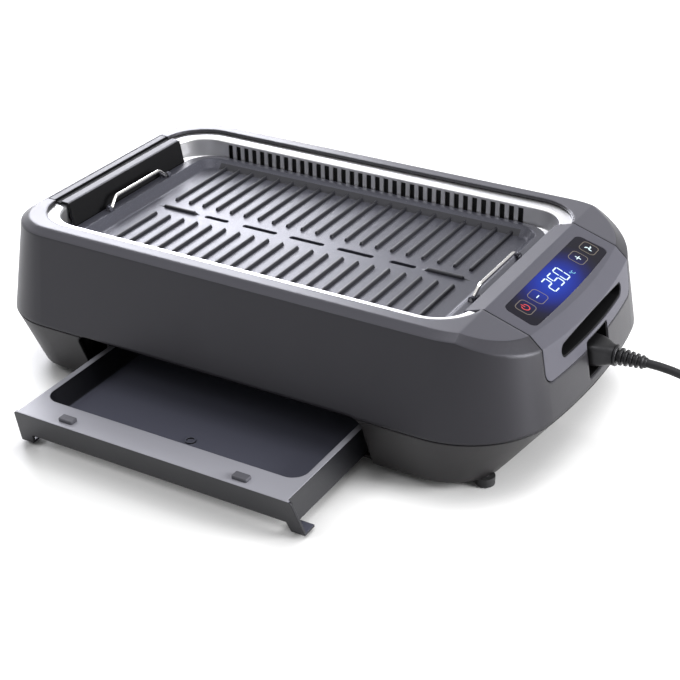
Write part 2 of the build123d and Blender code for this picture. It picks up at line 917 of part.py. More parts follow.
def board_parts():
    z = board_height + board_thick
    x, y = board_left, board_front
    parts = [
        block(x + 9, x + 21, y + 2, y + 14, z, z + 13),
        block(x + 30, x + 45, y + 2, y + 14, z, z + 11),
        cylinder(x + 14, y + 20, z, z + 12, 4.6),
        cylinder(x + 38, y + 19, z, z + 9, 4.0),
    ]
    return joined(parts)


def wiring():
    # Two insulated leads from the inlet to the terminal block, and one to the board
    x_pin = inlet_floor - socket_depth - 6.0
    z = element_height()
    x_block = liner_left + 18.1
    leads = []
    for y, height in pin_places()[:2]:
        side = math.copysign(14.0, y)
        points = [(x_pin, y, height), (x_pin - 7, y, height), (x_block + 7, side, z), (x_block, side, z)]
        solid, path = tube_along(points, [2.5, 2.5], 1.4)
        leads.append(solid)
    return joined(leads)


# Cooking plate


def stop_reach():
    # From the hinge out to the ear that the upright wire leans on
    lean = math.radians(handle_lean)
    return wire_radius / math.cos(lean) + stop_height * math.tan(lean) + touch_gap


def handle_lugs(side, end):
    # A low rounded eye for the wire's foot, and the ear beside it
    x = side * handle_x
    inner = handle_foot + 1.2
    y0, y1 = sorted((end * inner, end * (inner + lug_length)))
    lug = block(x - lug_size / 2, x + lug_size / 2, y0, y1, plate_top - 0.5, hinge_height + lug_round)
    lug = fillet(lug.edges().filter_by(Axis.Y).group_by(Axis.Z)[-1], lug_round - 0.1)
    x0, x1 = sorted((side * (handle_x + stop_reach()), side * (handle_x + stop_reach() + stop_thick)))
    y0, y1 = sorted((end * (inner - stop_length), end * (inner + 1.0)))
    return lug + block(x0, x1, y0, y1, plate_top - 0.5, hinge_height + stop_height)


def grill_plate():
    flange = rounded_block(-plate_half_length, plate_half_length, -plate_half_depth, plate_half_depth,
                           plate_under, plate_top, plate_corner)
    skin = 3.5

    def bowl(grow, top, depth):
        high = Pos(0, 0, top) * RectangleRounded(2 * (recess_half_length + grow),
                                                 2 * (recess_half_depth + grow), recess_corner + grow)
        inset = recess_slant
        low = Pos(0, 0, top - depth) * RectangleRounded(2 * (recess_half_length + grow - inset),
                                                        2 * (recess_half_depth + grow - inset),
                                                        recess_corner + grow - inset)
        return loft([low, high], ruled=True)

    plate = flange + bowl(1.5, plate_top - 0.5, plate_top - 0.5 - plate_floor + skin)
    plate -= bowl(0, plate_top, recess_depth)
    plate -= rounded_block(-recess_half_length + 1, recess_half_length - 1, -recess_half_depth + 1,
                           recess_half_depth - 1, plate_top - 0.01, plate_top + 1, recess_corner)
    rib_outer = recess_half_depth - rib_margin
    rib_length = rib_outer - rib_inner
    rib_face = Rot(0, 0, 90) * SlotOverall(rib_length, rib_width)
    rib = extrude(rib_face, rib_height + 0.5, taper=14)
    count = int((recess_half_length - 22.0) / rib_pitch)
    ribs = []
    for index in range(-count, count + 1):
        for side in (-1, 1):
            y = side * (rib_inner + rib_outer) / 2
            ribs.append(Pos(index * rib_pitch, y, plate_floor - 0.5) * rib)
    end_rib = extrude(SlotOverall(end_rib_length, rib_width), rib_height + 0.5, taper=14)
    for side in (-1, 1):
        ribs.append(Pos(side * end_rib_centre, 0, plate_floor - 0.5) * end_rib)
    plate = plate.fuse(*ribs)
    for centre, length in drain_spans:
        for side in (-1, 1):
            if centre or side > 0:
                slot = extrude(SlotOverall(length, drain_width), 30)
                plate -= Pos(side * centre, 0, plate_floor - 20) * slot
    for side in (-1, 1):
        for end in (-1, 1):
            x = side * handle_x
            y = end * (handle_foot + handle_pin)
            plate += handle_lugs(side, end)
            plate -= rod((x, y - handle_pin, hinge_height), (x, y + handle_pin, hinge_height),
                         wire_radius + hinge_clearance)
    return plate


def plate_handle(side):
    # Wire bail, leaning outwards against its stop
    x = side * handle_x
    end = handle_foot + handle_pin
    head = handle_foot - handle_taper
    points = [(0, -end, 0), (0, -handle_foot, 0), (0, -head, handle_height),
              (0, head, handle_height), (0, handle_foot, 0), (0, end, 0)]
    foot_bend = wire_radius * 1.3
    solid, path = tube_along(points, [foot_bend, handle_bend, handle_bend, foot_bend], wire_radius)
    return Pos(x, 0, hinge_height) * Rot(0, side * handle_lean, 0) * solid


# Drip tray


def drip_tray():
    skirt_front = tray_front + fascia_thick
    outer = rounded_block(-tray_half, tray_half, skirt_front, tray_back, tray_bottom, tray_top, 3.0)
    hollow = block(-tray_half + tray_skin, tray_half - tray_skin, skirt_front + tray_skin + 10,
                   tray_back - tray_skin, tray_bottom - 1, tray_top - tray_skin)
    outer -= hollow
    outer -= block(-tray_half - 1, tray_half + 1, tray_front - 1, skirt_front + 12,
                   tray_bottom - 1, tray_top - tray_skin)
    basin_x = tray_half - flange_side
    basin_front = tray_front + flange_front
    basin_back = tray_back - flange_side
    inset = basin_depth * math.tan(math.radians(basin_draft))

    def basin(grow, top, depth):
        centre = (basin_front + basin_back) / 2
        long = basin_back - basin_front + 2 * grow
        wide = 2 * (basin_x + grow)
        high = Pos(0, centre, top) * RectangleRounded(wide, long, basin_corner + grow)
        shrink = 2 * inset * depth / basin_depth
        low = Pos(0, centre, top - depth) * RectangleRounded(wide - shrink, long - shrink,
                                                             basin_corner + grow - shrink / 2 + 3)
        return loft([low, high], ruled=True)

    tray = outer + basin(tray_skin, tray_top - 0.2, basin_depth + tray_skin - 0.2)
    cavity = basin(0, tray_top, basin_depth)
    cavity = fillet(cavity.edges().group_by(Axis.Z)[0], 3.0)
    tray -= cavity
    tray -= block(-basin_x + 10, basin_x - 10, basin_front + 10, basin_back - 10, tray_top - 0.01, tray_top + 1)
    tray += fascia()
    ring_y = tray_front + 58.0
    ring = cylinder(1.5, ring_y, tray_top - basin_depth - 0.5, tray_top - basin_depth + 1.6, 4.8)
    ring -= cylinder(1.5, ring_y, tray_top - basin_depth, tray_top - basin_depth + 3, 3.4)
    tray += ring
    return tray


def fascia():
    # Front of the tray: a leaning panel that widens downwards, with a leg and a hook at each end
    stretch = math.sqrt(1 + fascia_lean**2)
    front = Plane(origin=(0, tray_front, tray_top), x_dir=(1, 0, 0), z_dir=(0, -1, -fascia_lean))
    low = tray_top - fascia_height
    mid_half = fascia_half + (fascia_foot_half - fascia_half) * fascia_mid_height / fascia_height
    half = [
        (fascia_half, 0), (fascia_foot_half, -fascia_height * stretch),
        (fascia_foot_half - leg_width, -fascia_height * stretch),
        (mid_half - leg_width - 1.0, -fascia_mid_height * stretch),
    ]
    outline = half + [(-x, height) for x, height in reversed(half)]
    face = make_face(Polyline(*outline, close=True))
    face = fillet(face.vertices().group_by(Axis.Y)[-1], fascia_round)
    body = extrude(front * face, fascia_thick, dir=(0, 1, 0))
    body += block(-tray_half, tray_half, tray_front + fascia_thick - 1.5, tray_front + 12.0,
                  tray_top - tray_skin, tray_top)
    for side in (-1, 1):
        x0, x1 = sorted((side * fascia_foot_half, side * (fascia_foot_half - leg_width)))
        y0 = tray_front + fascia_lean * fascia_height
        body += block(x0, x1, y0, y0 + hook_length, low, low + hook_thick)
        w0, w1 = sorted((side * tray_half, side * (tray_half - tray_skin)))
        body += gusset(w0, w1)
    return body


def gusset(x0, x1):
    # Closes the side skirt up to the back of the leaning front
    low = tray_top - fascia_mid_height
    top_y = tray_front + 1.5
    back_y = tray_front + 26.0
    points = [(top_y, tray_top), (top_y + fascia_lean * fascia_mid_height, low), (back_y, low), (back_y, tray_top)]
    face = make_face(Polyline(*[(x0, y, z) for y, z in points], close=True))
    return extrude(face, x1 - x0, dir=(1, 0, 0))


def tray_buffers():
    pads = []
    for side in (-1, 1):
        x = side * 84.5
        y = tray_front + 9.5
        pad = rounded_block(x - 7, x + 7, y - 4, y + 4, tray_top, tray_top + 3, 1.6)
        pads.append(fillet(pad.edges().group_by(Axis.Z)[-1], 1.0))
    return joined(pads)


# Cord


def connector():
    z = socket_height
    nose_face = Pos(0, z) * RectangleRounded(2 * socket_half_width - 0.8, 2 * socket_half_height - 0.8, 1.8)
    nose = prism_along_x(nose_face, inlet_floor - 13.5, inlet_floor + 0.6)
    for y, height in pin_places():
        nose -= block(inlet_floor - 14, inlet_floor - 2.0, y - 1.4, y + 1.4, height - 2.4, height + 2.4)
    x0 = inlet_floor + 0.4
    body_end = relief_start - 8.0
    wide = standing(Pos(0, z) * RectangleRounded(28, 20, 4), x0)
    mid = standing(Pos(0, z) * RectangleRounded(27, 19, 5), body_end)
    small = standing(Pos(0, z) * RectangleRounded(17, 16, 7), relief_start)
    return nose + loft([wide, mid, small], ruled=True)


def ribbed_sleeve(length, ribs, root, crest, taper):
    # Ruled loft through four circles for each rib, along X from the origin
    pitch = (length - 6.0) / ribs
    stations = [(0.0, crest + 1.0), (3.0, crest + 1.0)]
    for index in range(ribs):
        start = 3.0 + pitch * index
        shrink = 1 - taper * (index + 0.5) / ribs
        stations += [(start + 0.12 * pitch, root * shrink), (start + 0.42 * pitch, root * shrink),
                     (start + 0.54 * pitch, crest * shrink), (start + 0.88 * pitch, crest * shrink)]
    tail = stations[-1][0]
    stations += [(tail + 0.5, cord_radius + 0.9), (length, cord_radius + 0.9)]
    circles = [standing(Circle(radius), x) for x, radius in stations]
    return loft(circles, ruled=True)


def cord_route():
    # From the strain relief down to the floor, and on to the coil
    start = relief_start + relief_length
    low = cord_radius + 0.1
    enter_x = coil_centre[0] - 2 * cord_radius
    enter_y = coil_centre[1] - coil_outer
    return [
        (start, 0, socket_height), (350, 0, socket_height), (387, -4, 64), (418, -13, 30),
        (452, enter_y, low), (enter_x, enter_y, low),
    ]


def tail_route():
    layer = cord_radius + 0.1 + 2 * cord_radius + coil_layer_gap
    last = coil_outer - (coil_turns_low - coil_turns_high) * (2 * cord_radius + coil_gap)
    x = coil_centre[0] + 2 * cord_radius
    y = coil_centre[1] - last
    low = plug_radius + 0.2
    return [(x, y, layer), (x + 35, y, layer), (x + 71, y + 10, low), (x + 102, y + 28.2, low)]


def route_radii(points):
    radii = []
    for before, here, after in zip(points, points[1:], points[2:]):
        run_in = Vector(*here) - Vector(*before)
        run_out = Vector(*after) - Vector(*here)
        half_turn = math.radians(run_in.get_angle(run_out)) / 2
        radii.append(0.45 * min(run_in.length, run_out.length) / math.tan(half_turn))
    return radii


def cord_tube(name, points):
    radii = route_radii(points)
    solid, path = tube_along(points, radii, cord_radius)
    ideal = math.pi * cord_radius**2 * path.length
    print(name, "radii", [round(r, 1) for r in radii], "length", round(path.length, 1),
          "volume share", round(solid.volume / ideal, 4))
    return solid, path.length


def coil_point(turns):
    # Piled loops: in on the floor, up a layer in half a turn, and out again on top
    pitch = 2 * cord_radius + coil_gap
    layer = 2 * cord_radius + coil_layer_gap
    low = cord_radius + 0.1
    inner = coil_outer - pitch * coil_turns_low
    if turns <= coil_turns_low:
        radius = coil_outer - pitch * turns
        height = low
    elif turns <= coil_turns_low + 0.5:
        part = (turns - coil_turns_low) / 0.5
        radius = inner - pitch * 0.5 * (part - part * part)
        height = low + layer * (3 * part**2 - 2 * part**3)
    else:
        radius = inner + pitch * (turns - coil_turns_low - 0.5)
        height = low + layer
    angle = 2 * math.pi * turns - math.pi / 2
    return Vector(coil_centre[0] + radius * math.cos(angle), coil_centre[1] + radius * math.sin(angle), height)


def coil_direction(turns):
    step = 1e-4
    return (coil_point(turns + step) - coil_point(turns - step)).normalized()


def biarc(start, start_dir, end, end_dir):
    # Two arcs that meet smoothly, with equal tangent lengths
    chord = end - start
    both = start_dir + end_dir
    a = 2 * (1 - start_dir.dot(end_dir))
    b = 2 * chord.dot(both)
    c = -chord.dot(chord)
    reach = -c / b if abs(a) < 1e-9 else (-b + math.sqrt(b * b - 4 * a * c)) / (2 * a)
    middle = (start + start_dir * reach + end - end_dir * reach) * 0.5
    first = Edge.make_tangent_arc(start, start_dir, middle)
    second = Edge.make_tangent_arc(middle, first.tangent_at(1), end)
    return [first, second]


def coil():
    total = coil_turns_low + 0.5 + coil_turns_high
    steps = int(round(total * 4))
    stops = [total * index / steps for index in range(steps + 1)]
    straight = 2 * cord_radius
    first = coil_point(0)
    last = coil_point(total)
    ahead = Vector(1, 0, 0)
    edges = [Edge.make_line(first - ahead * straight, first)]
    for here, there in zip(stops, stops[1:]):
        start_dir = ahead if here == 0 else coil_direction(here)
        end_dir = ahead if there == total else coil_direction(there)
        edges += biarc(coil_point(here), start_dir, coil_point(there), end_dir)
    edges.append(Edge.make_line(last, last + ahead * straight))
    path = Wire(edges)
    begin = first - ahead * straight
    solid = sweep(Plane(origin=begin, z_dir=ahead) * Circle(cord_radius), path=path)
    points = [path.position_at(index / 900) for index in range(901)]
    spacing = path.length / 900
    skip = int(6 * cord_radius / spacing)
    least = min((points[i] - points[j]).length for i in range(0, 901, 2) for j in range(i + skip, 901, 2))
    ideal = math.pi * cord_radius**2 * path.length
    print("coil length", round(path.length, 1), "least gap", round(least - 2 * cord_radius, 2),
          "volume share", round(solid.volume / ideal, 4))
    return solid, path.length


def plug_pose():
    before, end = tail_route()[-2:]
    direction = Vector(*end) - Vector(*before)
    angle = math.degrees(math.atan2(direction.Y, direction.X))
    return Pos(*end) * Rot(0, 0, angle)


def mains_plug():
    sections = [(0, 7.0), (5, 8.5), (14, 13.0), (21, plug_radius), (plug_length, plug_radius)]
    body = loft([standing(Circle(radius), x) for x, radius in sections], ruled=True)
    body -= Pos(plug_length - 1.5, 0, 0) * Rot(0, 90, 0) * Cylinder(plug_radius - 3, 3.1)
    for side in (-1, 1):
        body -= Pos(plug_length - 10, side * plug_radius, 0) * Box(22, 4, 10)
    return Pos(17.0, 0, 0) * body


def plug_pins():
    pins = []
    for side in (-1, 1):
        pin = Pos(17.0 + plug_length + 6.5, side * 9.5, 0) * Rot(0, 90, 0) * Cylinder(2.4, 19)
        pin = fillet(pin.edges().group_by(Axis.X)[-1], 1.2)
        pins.append(pin)
    return pins


# Build every piece

outer_form = upper_form(0, 0, -seam_gap / 2)
inner_form = upper_form(wall, top_skin, 2.0)
save("upper_housing", upper_housing(outer_form, inner_form))
save("lower_housing", lower_housing())
save("feet", feet())
save("housing_screws", housing_screws())
save("steel_liner", steel_liner())
save("left_end_cover", left_end_cover())
save("left_inner_wall", left_inner_wall())
save("control_panel_cover", control_panel_cover(outer_form, inner_form))
save("display_glass", glass_solid(0, glass_thick, 0.0))
save("lcd_module", lcd_module())
save("touch_board", touch_board())
save("cover_screws", cover_screws())
recessed_form = upper_form(0.8, 0.8, 2.0)
save("grip_lining_right", grip_lining(1, recessed_form))
save("grip_lining_left", grip_lining(-1, recessed_form))
save("inlet_socket", inlet_socket(recessed_form))
save("inlet_pins", inlet_pins())
save("heating_element", heating_element())
save("element_brackets", element_brackets())
save("reflector_pan", reflector_pan())
save("terminal_block", terminal_block())
save("thermal_cutoff", thermal_cutoff())
save("temperature_probe", temperature_probe())
save("tray_rails", tray_rails())
save("drawer_frame", drawer_frame())
save("fan_housing", fan_housing())
save("fan_motor", fan_motor())
save("impeller", impeller())
save("air_duct", air_duct())
save("power_board", power_board())
save("board_parts", board_parts())
save("board_screws", board_screws())
save("wiring", wiring())
save("grill_plate", grill_plate())
save("plate_handle_left", plate_handle(-1))
save("plate_handle_right", plate_handle(1))
save("drip_tray", drip_tray())
save("tray_buffers", tray_buffers())
save("connector", connector())
relief = ribbed_sleeve(relief_length, relief_ribs, 4.6, 7.2, 0.28)
save("strain_relief", Pos(relief_start, 0, socket_height) * relief)
lead, lead_length = cord_tube("lead", cord_route())
save("cord_lead", lead)
wound, wound_length = coil()
save("cord_coil", wound)
tail, tail_length = cord_tube("tail", tail_route())
save("cord_tail", tail)
save("plug_relief", plug_pose() * ribbed_sleeve(17.0, 3, 4.6, 6.0, 0.1))
save("mains_plug", plug_pose() * mains_plug())
save("plug_pins", joined([plug_pose() * pin for pin in plug_pins()]))

print("cord length", round(lead_length + wound_length + tail_length, 1))
print("nodes", len(written))
print("shift", shift_x, shift_y)
print("tray front", tray_front, "closed", tray_closed_front, "hinge", handle_x, hinge_height)
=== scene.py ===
import json
import math
import bmesh
import bpy
import numpy as np
from mathutils import Matrix, Vector


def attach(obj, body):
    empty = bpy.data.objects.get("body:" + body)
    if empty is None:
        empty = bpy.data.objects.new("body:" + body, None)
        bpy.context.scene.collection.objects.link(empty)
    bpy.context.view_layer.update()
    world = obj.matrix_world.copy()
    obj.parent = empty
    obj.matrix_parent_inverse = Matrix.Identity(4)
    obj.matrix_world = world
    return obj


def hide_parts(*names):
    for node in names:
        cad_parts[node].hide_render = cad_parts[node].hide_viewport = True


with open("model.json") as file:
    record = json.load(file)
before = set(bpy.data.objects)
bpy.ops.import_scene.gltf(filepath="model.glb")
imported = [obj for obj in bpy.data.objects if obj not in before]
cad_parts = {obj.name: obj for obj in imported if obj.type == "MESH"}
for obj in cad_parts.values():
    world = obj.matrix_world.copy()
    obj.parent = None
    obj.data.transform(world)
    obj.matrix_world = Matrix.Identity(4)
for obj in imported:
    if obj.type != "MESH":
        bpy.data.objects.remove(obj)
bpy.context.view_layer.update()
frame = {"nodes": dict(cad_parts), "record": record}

nodes = frame["nodes"]
rowShift = np.array([-20.0, 46.8598, 0.0])  # from the drawing frame, in mm, to the row frame


def metres(points):
    # Drawing-frame millimetres to row-frame metres
    return (np.asarray(points, float) + rowShift) / 1000.0


def addObject(name, data):
    added = bpy.data.objects.new(name, data)
    bpy.context.scene.collection.objects.link(added)
    return added


# Camera

cameraView = {
    "place": (641.4, -1026.4, 702.6),
    "turn": 30.69,
    "rise": 29.5,
    "roll": -1.0,
    "focal": 1521.1 / 680.0,  # in frame widths
    "sensor": 36.0,
    "clip": (0.05, 50.0),
}


def placeCamera(settings):
    turn, rise, roll = (math.radians(settings[key]) for key in ("turn", "rise", "roll"))
    back = np.array([math.sin(turn) * math.cos(rise), -math.cos(turn) * math.cos(rise), math.sin(rise)])
    side = np.array([math.cos(turn), math.sin(turn), 0.0])
    up = np.cross(back, side)
    sideRolled = math.cos(roll) * side + math.sin(roll) * up
    upRolled = -math.sin(roll) * side + math.cos(roll) * up
    camera = addObject("photoCamera", bpy.data.cameras.new("photoCamera"))
    turned = Matrix([[sideRolled[i], upRolled[i], back[i]] for i in range(3)]).to_4x4()
    camera.matrix_world = Matrix.Translation(Vector(metres(settings["place"]))) @ turned
    camera.data.sensor_width = settings["sensor"]
    camera.data.lens = settings["sensor"] * settings["focal"]
    camera.data.clip_start, camera.data.clip_end = settings["clip"]
    bpy.context.scene.camera = camera


placeCamera(cameraView)
print("camera placed")

# Materials


def setSockets(node, values):
    for key, value in values.items():
        node.inputs[key].default_value = value


def newMaterial(name, values):
    # A material, its node tree, and its shader with the constants in its sockets
    material = bpy.data.materials.new(name)
    material.use_nodes = True
    shader = material.node_tree.nodes["Principled BSDF"]
    setSockets(shader, values)
    return material, material.node_tree, shader


def addNode(tree, kind, values=None, **properties):
    node = tree.nodes.new(kind)
    for key, value in properties.items():
        setattr(node, key, value)
    setSockets(node, values or {})
    return node


def mapRange(tree, source, start, end=(0.0, 1.0)):
    # Carries a value from one range to another and holds it at the ends
    ranged = addNode(tree, "ShaderNodeMapRange", {"From Min": start[0], "From Max": start[1],
                                                  "To Min": end[0], "To Max": end[1]})
    tree.links.new(source, ranged.inputs["Value"])
    return ranged.outputs["Result"]


def combine(tree, operation, first, second):
    # Arithmetic on a socket and another socket or a number
    node = addNode(tree, "ShaderNodeMath", operation=operation)
    tree.links.new(first, node.inputs[0])
    if isinstance(second, float):
        node.inputs[1].default_value = second
    else:
        tree.links.new(second, node.inputs[1])
    return node.outputs["Value"]


def axesOf(tree, vector):
    split = addNode(tree, "ShaderNodeSeparateXYZ")
    tree.links.new(vector, split.inputs[0])
    return split.outputs


def tint(tree, source, dark, light):
    mixed = addNode(tree, "ShaderNodeMix", {"A": (*dark, 1.0), "B": (*light, 1.0)}, data_type="RGBA")
    tree.links.new(source, mixed.inputs["Factor"])
    return mixed.outputs["Result"]


def overlay(tree, amount, tone, color):
    # Lays a colour over a tone, as much as the amount says
    mixed = addNode(tree, "ShaderNodeMix", {"B": (*color, 1.0)}, data_type="RGBA")
    tree.links.new(amount, mixed.inputs["Factor"])
    tree.links.new(tone, mixed.inputs["A"])
    return mixed.outputs["Result"]


def noiseOn(tree, coordinates, scale, detail, roughness, stretch=None):
    if stretch:
        mapping = addNode(tree, "ShaderNodeMapping", {"Scale": stretch})
        tree.links.new(coordinates, mapping.inputs["Vector"])
        coordinates = mapping.outputs["Vector"]
    noise = addNode(tree, "ShaderNodeTexNoise", {"Scale": scale, "Detail": detail, "Roughness": roughness})
    tree.links.new(coordinates, noise.inputs["Vector"])
    return noise.outputs["Fac"]


# What a finish has where its own settings don't say; noises are given by detail and roughness
plainFinish = {
    "metal": 0.0,
    "specular": 0.5,
    "sheenTint": (0.94, 0.94, 1.0),
    "change": 0.12,  # share of the colour that broad changes add or take
    "broadScale": 9.0,
    "broadNoise": (4.0, 0.6),
    "speckNoise": (2.0, 0.7),
    "speckRange": (0.62, 0.74),
    "upperRange": (0.7, 0.98),  # upward part of the face's normal
    "seamRange": (0.25, 0.75),
    "glossScale": 26.0,
    "glossNoise": (3.0, 0.6),
    "grainScale": 1500.0,
    "grainNoise": (4.0, 0.6),
    "grainDepth": 0.0002,
    "raySamples": 6,
}


def finishColor(tree, coordinates, settings):
    color, change = np.array(settings["color"]), settings["change"]
    broad = noiseOn(tree, coordinates, settings["broadScale"], *settings["broadNoise"])
    tone = tint(tree, broad, color * (1 - change), color * (1 + change))
    if "speck" in settings:
        specks = noiseOn(tree, coordinates, settings["speckScale"], *settings["speckNoise"])
        tone = overlay(tree, mapRange(tree, specks, settings["speckRange"]), tone, settings["speck"])
    if "upper" in settings:
        # Painted light: faces that look up take a lighter colour, as if they held more of the light
        facing = axesOf(tree, addNode(tree, "ShaderNodeNewGeometry").outputs["True Normal"])["Z"]
        tone = overlay(tree, mapRange(tree, facing, settings["upperRange"]), tone, settings["upper"])
    for start, startFull, endFull, end, bandColor in settings.get("bands", []):
        # Another tone between two heights in millimetres, blended in and out over a fraction of one; the tray
        # uses such bands for a painted shade line and a painted highlight
        height = axesOf(tree, coordinates)["Z"]
        above = mapRange(tree, height, (start / 1000.0, startFull / 1000.0))
        below = mapRange(tree, height, (end / 1000.0, endFull / 1000.0))
        tone = overlay(tree, combine(tree, "MULTIPLY", above, below), tone, bandColor)
    if "seam" in settings:
        # Painted shade: ambient occlusion darkens gaps and joints towards black, as they hold no light
        nook = addNode(tree, "ShaderNodeAmbientOcclusion", {"Distance": settings["seam"]},
                       samples=settings["raySamples"])
        shade = mapRange(tree, nook.outputs["AO"], settings["seamRange"], (1.0, 0.0))
        tone = overlay(tree, shade, tone, (0.0, 0.0, 0.0))
    return tone


def finishNormal(tree, coordinates, settings):
    # Edges that look rounded, with the grain's relief on top
    normal = None
    if "edge" in settings:
        samples = settings["raySamples"]
        rounded = addNode(tree, "ShaderNodeBevel", {"Radius": settings["edge"]}, samples=samples)
        normal = rounded.outputs["Normal"]
    if "grain" in settings:
        grain = noiseOn(tree, coordinates, settings["grainScale"], *settings["grainNoise"],
                        settings.get("stretch"))
        relief = {"Strength": settings["grain"], "Distance": settings["grainDepth"]}
        bump = addNode(tree, "ShaderNodeBump", relief)
        tree.links.new(grain, bump.inputs["Height"])
        if normal:
            tree.links.new(normal, bump.inputs["Normal"])
        normal = bump.outputs["Normal"]
    return normal


def finishMaterial(name, ownSettings):
    settings = {**plainFinish, **ownSettings}
    material, tree, shader = newMaterial(name, {
        "Metallic": settings["metal"],
        "Specular IOR Level": settings["specular"],
        "Specular Tint": (*settings["sheenTint"], 1.0),
    })
    coordinates = addNode(tree, "ShaderNodeTexCoord").outputs["Object"]
    tree.links.new(finishColor(tree, coordinates, settings), shader.inputs["Base Color"])
    gloss = noiseOn(tree, coordinates, settings["glossScale"], *settings["glossNoise"])
    tree.links.new(mapRange(tree, gloss, (0.0, 1.0), settings["roughness"]), shader.inputs["Roughness"])
    normal = finishNormal(tree, coordinates, settings)
    if normal:
        tree.links.new(normal, shader.inputs["Normal"])
    return material


housingGrain = {"grain": 0.22, "grainScale": 2600.0, "grainDepth": 0.00012}
coverGrain = {"grain": 0.2, "grainScale": 2400.0, "grainDepth": 0.00012}
finishes = {
    # The housing's upper colour is painted light: its upward faces are lighter than its walls
    "housing": {"color": (0.009, 0.0083, 0.0100), "upper": (0.070, 0.069, 0.083), "specular": 0.42,
                "sheenTint": (0.90, 0.90, 1.0), "roughness": (0.33, 0.43), "edge": 0.0035, "seam": 0.0016,
                **housingGrain},
    "base_plastic": {"color": (0.010, 0.009, 0.0095), "specular": 0.26, "roughness": (0.36, 0.46),
                     "edge": 0.002, "seam": 0.0016, **housingGrain},
    "bright_steel": {"color": (0.84, 0.84, 0.855), "metal": 1.0, "roughness": (0.33, 0.43), "grain": 0.03,
                     "grainScale": 900.0, "stretch": (0.04, 1.0, 1.0), "change": 0.03},
    "cover_grey": {"color": (0.077, 0.076, 0.093), "specular": 0.20, "roughness": (0.46, 0.56),
                   "edge": 0.0016, "seam": 0.0014, **coverGrain},
    "cover_light": {"color": (0.145, 0.145, 0.163), "specular": 0.26, "roughness": (0.44, 0.54),
                    "edge": 0.0008, **coverGrain},
    "dark_trim": {"color": (0.007, 0.007, 0.0075), "specular": 0.07, "roughness": (0.5, 0.62), "grain": 0.25,
                  "grainScale": 1800.0, "edge": 0.0008},
    "nonstick": {"color": (0.064, 0.065, 0.082), "metal": 0.15, "specular": 0.28, "roughness": (0.26, 0.34),
                 "grain": 0.45, "speck": (0.24, 0.24, 0.29), "speckScale": 1900.0, "edge": 0.0008},
    # Painted shade on the plate's ribs, for the dark that their sides reflect
    "rib_painted_shade": {"color": (0.016, 0.016, 0.020), "specular": 0.35, "roughness": (0.34, 0.44), "grain": 0.35},
    "wire": {"color": (0.60, 0.59, 0.575), "metal": 1.0, "roughness": (0.16, 0.24), "change": 0.03},
    # A dark line and a bright one run round just under the tray's top edge: the dark one is painted shade and
    # the bright one a painted highlight; the tray's upward faces take a lighter colour, which is painted
    # light
    "tray": {"color": (0.010, 0.0102, 0.0128), "upper": (0.098, 0.101, 0.134), "specular": 0.36,
             "roughness": (0.30, 0.41), "grain": 0.22, "grainScale": 1800.0, "edge": 0.0012,
             "bands": [(37.35, 37.6, 38.15, 38.4, (0.002, 0.002, 0.0025)),
                       (38.45, 38.8, 39.05, 39.3, (0.33, 0.33, 0.37))]},
    "pad_grey": {"color": (0.075, 0.075, 0.087), "roughness": (0.5, 0.62), "grain": 0.3, "edge": 0.0008},
    "rubber_black": {"color": (0.014, 0.014, 0.014), "roughness": (0.6, 0.75), "grain": 0.3, "edge": 0.0006},
    "cord_sheath": {"color": (0.008, 0.008, 0.0085), "specular": 0.36, "roughness": (0.40, 0.52),
                    "grain": 0.2, "grainScale": 1400.0},
    "plug_body": {"color": (0.006, 0.006, 0.0064), "specular": 0.36, "roughness": (0.33, 0.44),
                  "grain": 0.2, "grainScale": 1400.0, "edge": 0.0008},
    "pin_metal": {"color": (0.72, 0.69, 0.62), "metal": 1.0, "roughness": (0.2, 0.3), "change": 0.05},
    "zinc_steel": {"color": (0.5, 0.5, 0.51), "metal": 1.0, "roughness": (0.3, 0.42), "change": 0.08},
    "element_steel": {"color": (0.10, 0.09, 0.085), "metal": 1.0, "roughness": (0.45, 0.6), "change": 0.2},
    "bare_aluminium": {"color": (0.68, 0.68, 0.69), "metal": 1.0, "roughness": (0.3, 0.42), "change": 0.06},
    "insulator": {"color": (0.75, 0.73, 0.68), "roughness": (0.2, 0.35), "change": 0.04},
    "board_green": {"color": (0.015, 0.10, 0.045), "roughness": (0.3, 0.45), "change": 0.15},
    "component_mix": {"color": (0.03, 0.03, 0.035), "roughness": (0.35, 0.5), "change": 0.3},
    "fan_plastic": {"color": (0.05, 0.05, 0.052), "roughness": (0.42, 0.55), "grain": 0.2,
                    "grainScale": 1800.0},
}

# Black glass with a blue glow under its middle
glassGlow = {
    "color": (0.004, 0.004, 0.006),
    "roughness": 0.09,
    "specular": 0.10,
    "middle": (236.5, -6.0),
    "reach": (34.0, 62.0),  # across the panel and along it, in mm
    "bright": (0.004, 0.045, 0.50),
    "between": [(0.16, (0.003, 0.022, 0.33)), (0.42, (0.003, 0.006, 0.11)), (0.7, (0.004, 0.003, 0.028))],
    "edge": (0.003, 0.002, 0.008),
}


